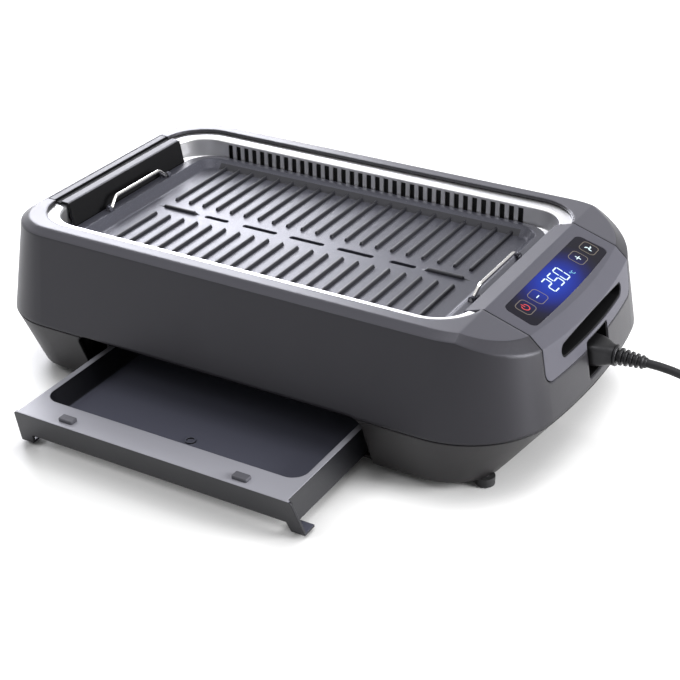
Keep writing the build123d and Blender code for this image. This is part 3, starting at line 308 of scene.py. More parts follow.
def glassMaterial(settings):
    # The glow falls with the sum of the squares of the distances from the middle over the reaches
    material, tree, shader = newMaterial("displayGlass", {
        "Base Color": (*settings["color"], 1.0),
        "Roughness": settings["roughness"],
        "Specular IOR Level": settings["specular"],
        "Emission Strength": 1.0,
    })
    axes = axesOf(tree, addNode(tree, "ShaderNodeTexCoord").outputs["Object"])
    middle = metres([(*settings["middle"], 0.0)])[0]
    squares = []
    for axis, centre, reach in zip("XY", middle, settings["reach"]):
        offset = combine(tree, "SUBTRACT", axes[axis], float(centre))
        squares.append(combine(tree, "POWER", combine(tree, "DIVIDE", offset, reach / 1000.0), 2.0))
    ramp = addNode(tree, "ShaderNodeValToRGB")
    tree.links.new(combine(tree, "ADD", *squares), ramp.inputs["Fac"])
    stops = ramp.color_ramp.elements
    stops[0].position, stops[0].color = 0.0, (*settings["bright"], 1.0)
    stops[1].position, stops[1].color = 1.0, (*settings["edge"], 1.0)
    for place, color in settings["between"]:
        stops.new(place).color = (*color, 1.0)
    tree.links.new(ramp.outputs["Color"], shader.inputs["Emission Color"])
    return material


finishOf = {name: finishMaterial(name, settings) for name, settings in finishes.items()}
finishOf["screen_glass"] = glassMaterial(glassGlow)
slotOf = {entry["node"]: entry["material_slot"] for entry in frame["record"]["subparts"]}
ownFinish = {"tray_buffers": "pad_grey"}
for nodeName, nodeObject in nodes.items():
    nodeObject.data.materials.clear()
    nodeObject.data.materials.append(finishOf[ownFinish.get(nodeName, slotOf[nodeName])])
print("finishes given to", len(nodes), "nodes")

# Mains cord: one smooth line through the same points as the solid's route

cordRoute = {
    "lead": [(317.6, 0, 83.5), (350, 0, 83.5), (387, -4, 64), (418, -13, 30), (452, -24, 3.7),
             (492.8, -24, 3.7)],
    "centre": (500.0, 22.0),
    "outer": 46.0,
    "pitch": 7.8,
    "low": 3.7,
    "layer": 7.9,
    "turnsIn": 2.0,
    "turnsOver": 0.5,
    "turnsOut": 1.5,
    "perTurn": 24,
    "tail": [(0.0, 0.0), (35.0, 0.0), (71.0, 10.0), (102.0, 28.2)],  # from where the coil lets go
    "plugHeight": 18.7,
    "radius": 3.6,
    "steps": 6,
    "bevelSteps": 5,
}


def coilLine(settings):
    # Radius falls by one pitch a turn, the height climbs a layer in half a turn, and the radius
    # grows again by one pitch a turn
    half = 0.5 / settings["perTurn"]
    total = settings["turnsIn"] + settings["turnsOver"] + settings["turnsOut"]
    turns = np.arange(half, total, 2 * half)
    climb = np.clip((turns - settings["turnsIn"]) / settings["turnsOver"], 0.0, 1.0)
    inner = settings["outer"] - settings["pitch"] * settings["turnsIn"]
    radius = np.where(
        turns <= settings["turnsIn"], settings["outer"] - settings["pitch"] * turns,
        np.where(climb < 1.0, inner - 0.5 * settings["pitch"] * (climb - climb**2),
                 inner + settings["pitch"] * (turns - settings["turnsIn"] - settings["turnsOver"])))
    height = settings["low"] + settings["layer"] * (3 * climb**2 - 2 * climb**3)
    angle = 2 * np.pi * turns - np.pi / 2
    reach = radius / math.cos(math.pi * 2 * half)
    return np.stack([settings["centre"][0] + reach * np.cos(angle),
                     settings["centre"][1] + reach * np.sin(angle), height], axis=1)


def tailLine(settings):
    # Off the top of the coil, one diameter past its middle, and up to the plug beside it
    top = settings["low"] + settings["layer"]
    x = settings["centre"][0] + 2 * settings["radius"]
    radius = settings["outer"] - settings["pitch"] * (settings["turnsIn"] - settings["turnsOut"])
    y = settings["centre"][1] - radius
    heights = (top, top, settings["plugHeight"], settings["plugHeight"])
    return np.array([(x + along, y + aside, height)
                     for (along, aside), height in zip(settings["tail"], heights)])


def makeCord(settings):
    points = metres(np.vstack([settings["lead"], coilLine(settings), tailLine(settings)]))
    curve = bpy.data.curves.new("mainsCord", "CURVE")
    curve.dimensions = "3D"
    spline = curve.splines.new("NURBS")
    spline.points.add(len(points) - 1)
    spline.points.foreach_set("co", np.hstack([points, np.ones((len(points), 1))]).ravel())
    spline.order_u = 3
    spline.use_endpoint_u = True
    spline.resolution_u = settings["steps"]
    curve.bevel_depth = settings["radius"] / 1000.0
    curve.bevel_resolution = settings["bevelSteps"]
    curve.use_fill_caps = True
    cord = addObject("mainsCord", curve)
    curve.materials.append(finishOf["cord_sheath"])
    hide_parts("cord_lead", "cord_coil", "cord_tail")
    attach(cord, "cord")


makeCord(cordRoute)
print("cord laid")

# Surfaces


def gridFaces(rows, columns, closed=False):
    # Quads between neighbouring rows of points; closed joins each row's end to its start
    r, c = np.meshgrid(np.arange(rows - 1), np.arange(columns if closed else columns - 1), indexing="ij")
    after = (c + 1) % columns
    return np.stack([r * columns + c, r * columns + after, (r + 1) * columns + after, (r + 1) * columns + c],
                    axis=-1).reshape(-1, 4)


def meshFrom(name, points, faces, merge=False):
    # A mesh from drawing-frame points, with its faces turned outwards
    mesh = bpy.data.meshes.new(name)
    mesh.from_pydata(metres(points).tolist(), [], [list(face) for face in faces])
    turned = bmesh.new()
    turned.from_mesh(mesh)
    if merge:
        bmesh.ops.remove_doubles(turned, verts=turned.verts, dist=1e-6)
    bmesh.ops.recalc_face_normals(turned, faces=turned.faces)
    turned.to_mesh(mesh)
    turned.free()
    return mesh


def meshPiece(name, points, faces, finish, body):
    # A closed smooth piece with its finish, on the body that it rides on
    piece = addObject(name, meshFrom(name, points, faces, merge=True))
    piece.data.shade_smooth()
    piece.data.materials.append(finishOf[finish])
    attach(piece, body)
    return piece


def applyModifier(piece, kind, **values):
    modifier = piece.modifiers.new(kind.lower(), kind)
    for key, value in values.items():
        setattr(modifier, key, value)
    shaped = bpy.data.meshes.new_from_object(piece.evaluated_get(bpy.context.evaluated_depsgraph_get()))
    piece.modifiers.clear()
    piece.data = shaped


def prism(outline, axis, low, high):
    # A flat outline drawn out along one axis; the outline's two numbers are the other two in order
    outline = np.asarray(outline, float)
    count = len(outline)
    points = np.zeros((2 * count, 3))
    along = "xyz".index(axis)
    across = [i for i in range(3) if i != along]
    points[:, across] = np.vstack([outline, outline])
    points[:count, along], points[count:, along] = low, high
    faces = gridFaces(2, count, closed=True).tolist() + [list(range(count)), list(range(count, 2 * count))]
    return points, faces


def facesAt(piece):
    # Middles of a piece's faces, in drawing-frame millimetres
    centres = np.empty(len(piece.data.polygons) * 3)
    piece.data.polygons.foreach_get("center", centres)
    return centres.reshape(-1, 3) * 1000.0 - rowShift


def giveSecondFinish(piece, finish, chosen):
    # Faces marked in the array take a second finish
    piece.data.materials.append(finishOf[finish])
    piece.data.polygons.foreach_set("material_index", chosen.astype(np.int32))


def gather(parts):
    # Several (points, faces) sets as one
    points, faces = [], []
    start = 0
    for partPoints, partFaces in parts:
        points.append(partPoints)
        faces += [[start + index for index in face] for face in partFaces]
        start += len(partPoints)
    return np.vstack(points), faces


def rectangle(x0, x1, y0, y1):
    return [(x0, y0), (x1, y0), (x1, y1), (x0, y1)]


def cutFrom(piece, parts):
    cutter = addObject("cutter", meshFrom("cutter", *gather(parts)))
    applyModifier(piece, "BOOLEAN", operation="DIFFERENCE", solver="EXACT", object=cutter)
    bpy.data.objects.remove(cutter)


def softenEdges(piece, angle):
    # Smooth shading everywhere except across edges sharper than the angle; large faces stay flat
    piece.data.shade_smooth()
    piece.data.set_sharp_from_angle(angle=math.radians(angle))
    applyModifier(piece, "WEIGHTED_NORMAL", keep_sharp=True, weight=60)


def roundedRing(halfX, halfY, corner, sideX, sideY, fan):
    # Points round a rounded rectangle: each side keeps its share of the side points, which lie
    # evenly about its middle, and each corner is a fan of equal angles; starts on the right side
    # and runs anticlockwise, and its second half is the first one turned half round
    arc = np.linspace(0.0, np.pi / 2, fan)
    cx, cy = halfX - corner, halfY - corner
    alongX, alongY = sideX[1:-1] * cx, sideY[1:-1] * cy
    half = np.vstack([
        np.stack([np.full(len(alongY), halfX), alongY], 1),
        np.stack([cx + corner * np.cos(arc), cy + corner * np.sin(arc)], 1),
        np.stack([alongX[::-1], np.full(len(alongX), halfY)], 1),
        np.stack([-cx - corner * np.sin(arc), cy + corner * np.cos(arc)], 1),
    ])
    return np.vstack([half, -half])


def arcProfile(centre, radius, start, end, count):
    # Points of a round edge, angles in degrees
    turn = np.radians(np.linspace(start, end, count))
    return [(centre[0] + radius * math.cos(t), centre[1] + radius * math.sin(t)) for t in turn]


# Cooking plate

plateShape = {
    "half": (189.0, 110.5),
    "corner": 28.0,
    "recess": (178.5, 104.5),
    "recessCorner": 19.0,
    "slant": 7.0,
    "top": 126.35,
    "under": 123.35,
    "floor": 118.75,
    "bottom": 115.25,
    "wall": 1.5,
    "fan": 9,
    "floorSteps": (-0.55, -0.35, -0.16),  # shares of the slant, inward of the slope's foot
    "slopeSteps": (0.03, 0.14, 0.27, 0.38, 0.44, 0.5, 0.62, 0.78, 0.9),
    "toe": (0.35, 0.09),  # height and share over which the slope's foot rounds off
    "brow": ((0.1, 0.32), (0.5, 0.08), (1.1, 0.0)),  # out and down, from slope to flange
    "rim": ((1.0, 0.0), (0.45, 0.12), (0.12, 0.45), (0.0, 1.0)),  # in and down, round the flange's edge
    "rimUnder": 0.5,
    "foot": (0.5, 0.4),  # in and up, at the bowl's bottom edge
    "underSteps": 5,
    "ribCount": 10,
    "ribPitch": 15.2,
    "ribHalfWidth": 1.75,
    "ribHeight": 2.7,
    "ribEnds": (15.5, 101.3),
    "endRib": (136.5, 17.5),  # middle and half length
    "across": (0.3, 0.6, 0.8, 0.93, 1.0, 1.12),  # grid lines over half a rib, in half widths
    "endSteps": (-0.12, 0.0, 0.07, 0.2, 0.4, 0.7, 1.0),
    "gapSteps": (-3.0, 0.0, 3.0),
    "middleRows": (5.0, 9.0, 13.0),
    "ribRows": (24.0, 36.0, 48.0, 60.0, 72.0),
    "ribShadeAbove": 0.12,  # height over the floor, and reach past the ribs, of their faces with painted shade
    "ribShadeReach": (21.0, 0.3),
    "drains": [(0.0, 35.3), (49.25, 35.9), (-49.25, 35.9), (95.9, 25.4), (-95.9, 25.4)],
    "drainWidth": 5.0,
    "drainCut": (112.25, 123.75),
}


def ribRise(x, y, settings):
    # Height of the ribs over the floor: distance from the nearest rib's middle line, run through
    # a flat-topped round profile, the root of one minus the fourth power of distance over half width
    nearest = np.clip(np.round(x / settings["ribPitch"]), -settings["ribCount"], settings["ribCount"])
    width = settings["ribHalfWidth"]
    low, high = settings["ribEnds"][0] + width, settings["ribEnds"][1] - width
    besideX = x - nearest * settings["ribPitch"]
    besideY = np.abs(y) - np.clip(np.abs(y), low, high)
    middle, reach = settings["endRib"]
    endX = np.abs(x) - np.clip(np.abs(x), middle - reach + width, middle + reach - width)
    distance = np.minimum(np.hypot(besideX, besideY), np.hypot(endX, y))
    share = np.clip(distance / width, 0.0, 1.0)
    return settings["ribHeight"] * np.sqrt(1.0 - share**4)


def plateRows(settings):
    # Half length, half depth, corner radius and height of each ring, from the floor up the slope,
    # over the flange and back under the bowl
    rx, ry = settings["recess"]
    hx, hy = settings["half"]
    slant, floor, top, wall = (settings[key] for key in ("slant", "floor", "top", "wall"))
    corner, outer = settings["recessCorner"], settings["corner"]
    under, bottom, edge = (settings[key] for key in ("under", "bottom", "rimUnder"))
    toeHeight, toeShare = settings["toe"]
    footIn, footUp = settings["foot"]
    rows = []

    def addRow(x, y, radius, grow, height):
        rows.append((x + grow, y + grow, radius + grow, height))

    for share in settings["floorSteps"]:
        addRow(rx, ry, corner, slant * share - slant, floor)
    for share in settings["slopeSteps"]:
        soft = toeHeight * math.exp(-share / toeShare)
        addRow(rx, ry, corner, -slant * (1 - share), floor + (top - floor) * share + soft)
    for grow, drop in settings["brow"]:
        addRow(rx, ry, corner, grow, top - drop)
    for inset, drop in settings["rim"]:
        addRow(hx, hy, outer, -inset, top - drop)
    addRow(hx, hy, outer, 0.0, under + edge)
    addRow(hx, hy, outer, -edge, under)
    addRow(rx, ry, corner, wall, under)
    addRow(rx, ry, corner, wall - slant, bottom + footUp)
    addRow(rx, ry, corner, wall - footIn - slant, bottom)
    return rows


def plateGrid(settings):
    # Grid lines of the floor: close together over each rib and at its ends, wide apart between
    width = settings["ribHalfWidth"]
    half = width * np.array(settings["across"])
    across = np.concatenate([-half[::-1], [0.0], half])
    ribs = np.arange(-settings["ribCount"], settings["ribCount"] + 1) * settings["ribPitch"]
    gaps = settings["ribPitch"] / 2 + np.array(settings["gapSteps"])
    centreX = settings["recess"][0] - settings["recessCorner"]
    centreY = settings["recess"][1] - settings["recessCorner"]
    columns = np.concatenate([(ribs[:, None] + across).ravel(), (ribs[:-1, None] + gaps).ravel(),
                              [-centreX, centreX]])
    ends = settings["ribEnds"][0] + width * np.array(settings["endSteps"])
    upper = np.concatenate([half, settings["middleRows"], ends, settings["ribRows"], [centreY]])
    rows = np.concatenate([-upper, [0.0], upper])
    return np.unique(np.round(columns, 3)), np.unique(np.round(rows, 3)), centreX, centreY


def stadium(middle, length, width):
    # Outline of a long hole with round ends
    turn = np.linspace(-np.pi / 2, np.pi / 2, 9)
    half, radius = (length - width) / 2, width / 2
    right = np.stack([middle + half + radius * np.cos(turn), radius * np.sin(turn)], 1)
    left = np.stack([middle - half - radius * np.cos(turn), -radius * np.sin(turn)], 1)
    return np.vstack([right, left])


def makePlate(settings):
    columns, rows, centreX, centreY = plateGrid(settings)
    floor, fan = settings["floor"], settings["fan"]
    gridX, gridY = np.meshgrid(columns, rows, indexing="xy")
    inner = np.stack([gridX.ravel(), gridY.ravel(), np.full(gridX.size, floor)], 1)
    # The first ring is the grid's own border, with each corner point repeated for its fan
    rings = []
    for halfX, halfY, corner, height in [(centreX, centreY, 0.0, floor)] + plateRows(settings):
        ring = roundedRing(halfX, halfY, corner, columns / centreX, rows / centreY, fan)
        rings.append(np.hstack([ring, np.full((len(ring), 1), height)]))
    count = len(rings[0])
    points = np.vstack([inner] + rings)
    upper = points[:len(inner) + count * (len(rings) - settings["underSteps"])]
    upper[:, 2] = np.maximum(upper[:, 2], floor + ribRise(upper[:, 0], upper[:, 1], settings))
    wallFaces = gridFaces(len(rings), count, closed=True) + len(inner)
    last = len(inner) + count * (len(rings) - 1)
    faces = gridFaces(len(rows), len(columns)).tolist() + wallFaces.tolist()
    faces.append(list(range(last, last + count)))
    plate = meshPiece("cookingPlate", points, faces, "nonstick", "plate")
    for middle, length in settings["drains"]:
        outline = stadium(middle, length, settings["drainWidth"])
        cutFrom(plate, [prism(outline, "z", *settings["drainCut"])])
    softenEdges(plate, 50.0)
    # Painted shade: the ribs' faces take a darker finish than the floor, for the dark that their sides
    # reflect
    centres = facesAt(plate)
    pastX, pastY = settings["ribShadeReach"]
    onRib = centres[:, 2] > floor + settings["ribShadeAbove"]
    onRib &= np.abs(centres[:, 0]) < settings["endRib"][0] + pastX
    onRib &= np.abs(centres[:, 1]) < settings["ribEnds"][1] + pastY
    giveSecondFinish(plate, "rib_painted_shade", onRib)
    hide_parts("grill_plate")


makePlate(plateShape)
print("cooking plate formed")

# Eyes that hold the feet of the wire handles, each with its stop

eyeShape = {
    "hinge": (182.5, 128.15),
    "base": 125.95,
    "radius": 2.75,
    "halfWidth": 2.8,
    "hole": 1.8,
    "stop": (2.35, 1.6, 2.1),  # distance out from the hinge, thickness and rise over the hinge
    "eyeSpan": (43.2, 46.8),  # this and the next two along the hinge, from its middle
    "stopSpan": (38.3, 43.6),
    "holeSpan": (42.2, 48.2),
    "round": 0.0003,
}


def makeEyes(settings):
    hingeX, hingeZ = settings["hinge"]
    base, wide = settings["base"], settings["halfWidth"]
    stopOut, stopThick, stopRise = settings["stop"]
    eyes, holes = [], []
    for side in (-1, 1):
        outline = arcProfile((side * hingeX, hingeZ), settings["radius"], 180, 0, 13)
        outline = [(side * hingeX - wide, base)] + outline + [(side * hingeX + wide, base)]
        stopX = side * (hingeX + stopOut)
        stop = rectangle(*sorted((stopX, stopX + side * stopThick)), base, hingeZ + stopRise)
        ring = arcProfile((side * hingeX, hingeZ), settings["hole"], 0, 345, 24)
        for end in (-1, 1):
            eyeSpan, stopSpan, holeSpan = (sorted(end * place for place in settings[key])
                                           for key in ("eyeSpan", "stopSpan", "holeSpan"))
            eyes += [prism(outline, "y", *eyeSpan), prism(stop, "y", *stopSpan)]
            holes.append(prism(ring, "y", *holeSpan))
    piece = meshPiece("handleEyes", *gather(eyes), "nonstick", "plate")
    cutFrom(piece, holes)
    applyModifier(piece, "BEVEL", width=settings["round"], segments=2, limit_method="ANGLE",
                  angle_limit=math.radians(40))
    softenEdges(piece, 35.0)


makeEyes(eyeShape)
print("handle eyes formed")

# Steel liner round the well

linerShape = {
    "middle": 1.25,
    "half": (199.25, 111.8),
    "corner": 30.0,
    "top": 143.45,
    "ledge": 123.05,
    "sheet": 1.2,
    "flange": 13.7,
    "flangeEdge": 0.3,
    "lip": 2.6,
    "bend": 2.0,  # radius from the wall to the ledge
    "hole": (184.0, 106.5, 22.0),  # half length, half depth and corner radius
    "slots": {"count": 17, "pitch": 9.08, "width": 4.9, "low": 123.65, "height": 15.6, "reach": 4.0},
    "panelCut": {"x": (197.0, 259.0), "y": (-89.5, 89.5), "z": (136.4, 152.0)},
    "fan": 21,
    "sidePoints": 7,
}


def makeLiner(settings):
    # One profile carried round the well: flange, rolled lip, wall, ledge, and back along the underside
    top, ledge, sheet, lip, bend = (settings[key] for key in ("top", "ledge", "sheet", "lip", "bend"))
    flange, edge = settings["flange"], settings["flangeEdge"]
    profile = [(flange, top - sheet), (flange, top - edge), (flange - edge, top)]
    profile += arcProfile((lip, top - lip), lip, 90, 180, 9)
    profile += [(0.0, ledge + 2 * bend)] + arcProfile((-bend, ledge + bend), bend, 0, -90, 6)
    under = [(sheet, ledge - sheet)] + arcProfile((lip, top - lip), lip - sheet, 180, 90, 7)
    side = np.linspace(-1, 1, settings["sidePoints"])

    def ringAt(halfX, halfY, corner, middle, height):
        flat = roundedRing(halfX, halfY, corner, side, side, settings["fan"])
        flat[:, 0] += middle
        return np.hstack([flat, np.full((len(flat), 1), height)])

    def wallRing(grow, height):
        halfX, halfY = settings["half"]
        return ringAt(halfX + grow, halfY + grow, settings["corner"] + grow, settings["middle"], height)

    rings = [wallRing(grow, height) for grow, height in profile]
    rings += [ringAt(*settings["hole"], 0.0, height) for height in (ledge, ledge - sheet)]
    rings += [wallRing(grow, height) for grow, height in under] + [rings[0]]
    faces = gridFaces(len(rings), len(rings[0]), closed=True)
    liner = meshPiece("wellLiner", np.vstack(rings), faces, "bright_steel", "base")
    slots, cuts = settings["slots"], []
    wallY, half = settings["half"][1], settings["slots"]["width"] / 2
    for index in range(-slots["count"], slots["count"] + 1):
        x = index * slots["pitch"]
        slot = rectangle(x - half, x + half, slots["low"], slots["low"] + slots["height"])
        cuts.append(prism(slot, "y", wallY - slots["reach"], wallY + slots["reach"]))
    cutFrom(liner, cuts)
    panel = settings["panelCut"]
    cutFrom(liner, [prism(rectangle(*panel["x"], *panel["y"]), "z", *panel["z"])])
    softenEdges(liner, 35.0)
    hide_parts("steel_liner")


makeLiner(linerShape)
print("liner formed")

# Left end cover: light strip, dark groove, light ridge

leftCover = {
    "strip": (-217.6, -211.3),
    "groove": (-211.3, -204.4),
    "grooveDepth": 2.0,
    "ridgeEnd": -196.0,
    "ridgeDrop": 0.3,
    "ridgeRound": 1.4,
    "top": 147.2,
    "under": 144.3,
    "half": 84.0,
    "round": 0.5,
}


def makeLeftCover(settings):
    x0, x1 = settings["strip"]
    g0, g1 = settings["groove"]
    top, under, r, end = (settings[key] for key in ("top", "under", "round", "ridgeEnd"))
    low, ridgeTop = top - settings["grooveDepth"], top - settings["ridgeDrop"]
    ridgeRound = settings["ridgeRound"]
    outline = [(x0, under)] + arcProfile((x0 + r, top - r), r, 180, 90, 5)
    outline += arcProfile((x1 - r, top - r), r, 90, 0, 5) + [(g0, low), (g1, low)]
    outline += arcProfile((g1 + r, ridgeTop - r), r, 180, 90, 5)
    outline += arcProfile((end - ridgeRound, ridgeTop - ridgeRound), ridgeRound, 90, 0, 7) + [(end, under)]
    points, faces = prism(outline, "y", -settings["half"], settings["half"])
    cover = meshPiece("leftEndCover", points, faces, "cover_light", "base")
    softenEdges(cover, 50.0)
    # The groove's faces and the cover's two end faces take the dark trim; on the end faces it is painted
    # shade, for the dark gaps at the cover's ends
    centres = facesAt(cover)
    spare = 0.1
    dark = (centres[:, 0] > g0 - spare / 2) & (centres[:, 0] < g1 + spare / 2) & (centres[:, 2] > low - spare)
    dark |= np.abs(centres[:, 1]) > settings["half"] - spare
    giveSecondFinish(cover, "dark_trim", dark)
    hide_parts("left_end_cover")


makeLeftCover(leftCover)
print("left cover formed")

# Cord connector and its ribbed sleeve

connectorShape = {
    "height": 83.5,
    "nose": {"half": (11.9, 8.1), "from": 248.5, "to": 262.6, "power": 7.0, "bevel": 0.6},
    "pins": [(-7.0, -2.0), (7.0, -2.0), (0.0, 2.0)],
    "pinHole": {"half": (1.4, 2.4), "cut": (246.5, 260.0)},
    # Distance along the body, half width, half height and squareness of each section
    "sections": [(262.4, 13.3, 9.3, 6.0), (262.9, 13.9, 9.9, 6.0), (263.8, 14.0, 10.0, 5.5),
                 (270.0, 13.9, 10.0, 5.2), (275.0, 13.4, 9.9, 4.8), (279.0, 12.4, 9.6, 4.2),
                 (282.5, 11.0, 9.1, 3.6), (285.5, 9.7, 8.6, 3.0), (288.0, 8.9, 8.4, 2.4),
                 (290.2, 8.7, 8.5, 2.0)],
    "turns": 48,
}


def squareRing(x, halfWidth, halfHeight, power, count, height):
    # Rounded square section: cosine and sine to the power two over the squareness
    turn = np.linspace(0, 2 * np.pi, count, endpoint=False)
    c, s = np.cos(turn), np.sin(turn)
    y = halfWidth * np.sign(c) * np.abs(c) ** (2.0 / power)
    z = halfHeight * np.sign(s) * np.abs(s) ** (2.0 / power)
    return np.stack([np.full(count, x), y, height + z], 1)


def loft(rings):
    # Skin over a row of rings, closed at both ends
    count = len(rings[0])
    last = count * (len(rings) - 1)
    ends = [list(range(count)), list(range(last, last + count))]
    return np.vstack(rings), gridFaces(len(rings), count, closed=True).tolist() + ends


def makeConnector(settings):
    height, nose = settings["height"], settings["nose"]
    halfWidth, halfHeight = nose["half"]
    start, bevel, power = nose["from"], nose["bevel"], nose["power"]
    sections = [(start, halfWidth - bevel, halfHeight - bevel, power),
                (start + bevel, halfWidth, halfHeight, power), (nose["to"], halfWidth, halfHeight, power)]
    rings = [squareRing(*section, settings["turns"], height) for section in sections + settings["sections"]]
    body = meshPiece("cordConnector", *loft(rings), "plug_body", "cord")
    halfY, halfZ = settings["pinHole"]["half"]
    cutFrom(body, [prism(rectangle(y - halfY, y + halfY, height + z - halfZ, height + z + halfZ), "x",
                         *settings["pinHole"]["cut"]) for y, z in settings["pins"]])
    softenEdges(body, 40.0)
    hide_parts("connector")


makeConnector(connectorShape)

sleeveShape = {
    "height": 83.5,
    "from": 290.0,
    "length": 27.6,
    "collar": 9.0,
    "collarWidth": 3.0,
    "shoulder": [(0.0, 0.9), (0.25, 0.3), (0.8, 0.0)],  # in from each end of the collar, and down
    "ribs": 5,
    "ribRoot": (4.9, 4.1),  # first and last
    "ribCrest": (7.4, 5.7),
    # Share of the pitch, whether on the crest, and drop below it
    "ribProfile": [(0.04, False, 0.0), (0.46, False, 0.0), (0.48, True, 0.5), (0.56, True, 0.0),
                   (0.90, True, 0.0), (0.98, True, 0.5)],
    "tail": [(2.5, 4.5), (0.5, 4.5), (0.0, 4.0), (0.0, 2.0)],  # back from the end, and radius
    "tailSpan": 2.6,
    "turns": 36,
}


def makeSleeve(settings):
    # Radius along the sleeve: a collar, then ribs whose crests shrink evenly towards the cord
    length, wide = settings["length"], settings["collarWidth"]
    near = [(along, settings["collar"] - drop) for along, drop in settings["shoulder"]]
    profile = near + [(wide - along, radius) for along, radius in reversed(near)]
    pitch = (length - wide - settings["tailSpan"]) / settings["ribs"]
    for index in range(settings["ribs"]):
        share = index / (settings["ribs"] - 1)
        root, crest = (first + share * (last - first)
                       for first, last in (settings["ribRoot"], settings["ribCrest"]))
        for along, onCrest, drop in settings["ribProfile"]:
            profile.append((wide + pitch * (index + along), (crest if onCrest else root) - drop))
    profile += [(length - back, radius) for back, radius in settings["tail"]]
    rings = [squareRing(settings["from"] + along, radius, radius, 2.0, settings["turns"], settings["height"])
             for along, radius in profile]
    sleeve = meshPiece("cordSleeve", *loft(rings), "plug_body", "cord")
    softenEdges(sleeve, 40.0)
    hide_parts("strain_relief")


makeSleeve(sleeveShape)
print("connector formed")

# Display: lit symbols, thin sheets that lie on the glass

display = {
    "ridge": 213.5,
    "top": 147.2,
    "slope": 0.32,
    "lift": 0.03,
    "sheet": 0.12,
    "places": {"power": (22.5, -58.0), "minus": (23.4, -36.8), "digits": (24.0, -2.3), "unit": (30.2, 18.9),
               "plus": (24.6, 42.6), "fan": (25.5, 63.9)},
    "digits": "250",
    "digitSize": (7.8, 14.0),
    "digitStep": 11.2,
    "digitLean": 0.12,
    "digitStroke": 1.15,
    "digitGap": 0.35,
    "unitDot": (0.7, -2.0, 1.6, 0.35),  # radius, place and stroke
    "unitArc": (1.7, 1.0, 0.0, 0.55),
    "frameHalf": (7.5, 7.2),
    "frameCorner": 3.6,
    "frameStroke": 0.45,
    "powerRing": (3.4, 125, 415),  # radius and angles
    "powerBar": (0.6, 4.4),
    "powerStroke": 0.75,
    "minusArm": 2.3,
    "plusArm": 2.8,
    "armStroke": 0.85,
    "fanTurns": (90, 210, 330),
    "fanRoot": 0.9,
    "fanReach": 3.1,
    "fanSweep": 34.0,
    "fanWidth": 1.5,
    "fanSwell": (0.15, 0.95),  # stretch of half a wave that a blade's width follows
    "fanHub": 0.75,
}
segmentsOf = {"2": "abged", "5": "afgcd", "0": "abcdef"}
unlitSymbol = {"Base Color": (0.01, 0.01, 0.012, 1.0), "Roughness": 0.12}
glowColors = {
    "white": ("litWhite", (0.75, 0.93, 1.0), 1.3),
    "cyan": ("litCyan", (0.25, 0.75, 1.0), 0.9),
    "red": ("litRed", (1.0, 0.05, 0.06), 0.9),
    # The tan frames are print; their glow is painted light
    "tan": ("printedTanPaintedGlow", (0.72, 0.60, 0.46), 0.35),
}


def glowMaterial(name, color, strength):
    lit = {"Emission Color": (*color, 1.0), "Emission Strength": strength}
    return newMaterial(name, {**unlitSymbol, **lit})[0]


glows = {name: glowMaterial(*glow) for name, glow in glowColors.items()}


def onPanel(points, place, lift):
    # Symbol coordinates to the sloping glass: reading direction along Y, up towards the ridge
    steep = math.sqrt(1 + display["slope"] ** 2)
    down = place[0] - points[:, 1]
    x = display["ridge"] + down / steep + lift * display["slope"] / steep
    z = display["top"] - down * display["slope"] / steep + lift / steep
    return np.stack([x, place[1] + points[:, 0], z], 1)


def ribbon(line, width, closed=False):
    # A flat band of even width along a line, mitred at its corners
    line = np.asarray(line, float)
    ahead = np.roll(line, -1, 0) - line
    behind = line - np.roll(line, 1, 0)
    if not closed:
        ahead[-1], behind[0] = behind[-1], ahead[0]
    ahead /= np.linalg.norm(ahead, axis=1)[:, None]
    behind /= np.linalg.norm(behind, axis=1)[:, None]
    middle = ahead + behind
    middle /= np.linalg.norm(middle, axis=1)[:, None]
    stretch = 1.0 / np.clip((middle * ahead).sum(1), 0.4, 1.0)
    side = np.stack([-middle[:, 1], middle[:, 0]], 1) * (stretch * width / 2)[:, None]
    count = len(line)
    steps = np.arange(count if closed else count - 1)
    after = (steps + 1) % count
    faces = np.stack([steps, after, after + count, steps + count], 1)
    return np.vstack([line + side, line - side]), faces.tolist()


def segment(line, width, lean, shift):
    # A digit's segment with pointed ends
    start, end = np.array(line[:2], float), np.array(line[2:], float)
    along = (end - start) / np.linalg.norm(end - start)
    side = np.array([-along[1], along[0]]) * width / 2
    tip = along * width / 2
    points = np.array([start, start + tip + side, end - tip + side,
                       end, end - tip - side, start + tip - side])
    points[:, 0] += lean * points[:, 1] + shift
    return points, [list(range(6))]


def digitParts(digit, shift, settings):
    w, half = settings["digitSize"][0] / 2, settings["digitSize"][1] / 2
    gap = settings["digitGap"]
    lines = {"b": (w, gap, w, half - gap), "c": (w, gap - half, w, -gap),
             "f": (-w, gap, -w, half - gap), "e": (-w, gap - half, -w, -gap)}
    lines.update({name: (gap - w, y, w - gap, y) for name, y in (("a", half), ("g", 0), ("d", -half))})
    return [segment(lines[name], settings["digitStroke"], settings["digitLean"], shift)
            for name in segmentsOf[digit]]


def circle(radius, start, end, count):
    return np.array(arcProfile((0, 0), radius, start, end, count))


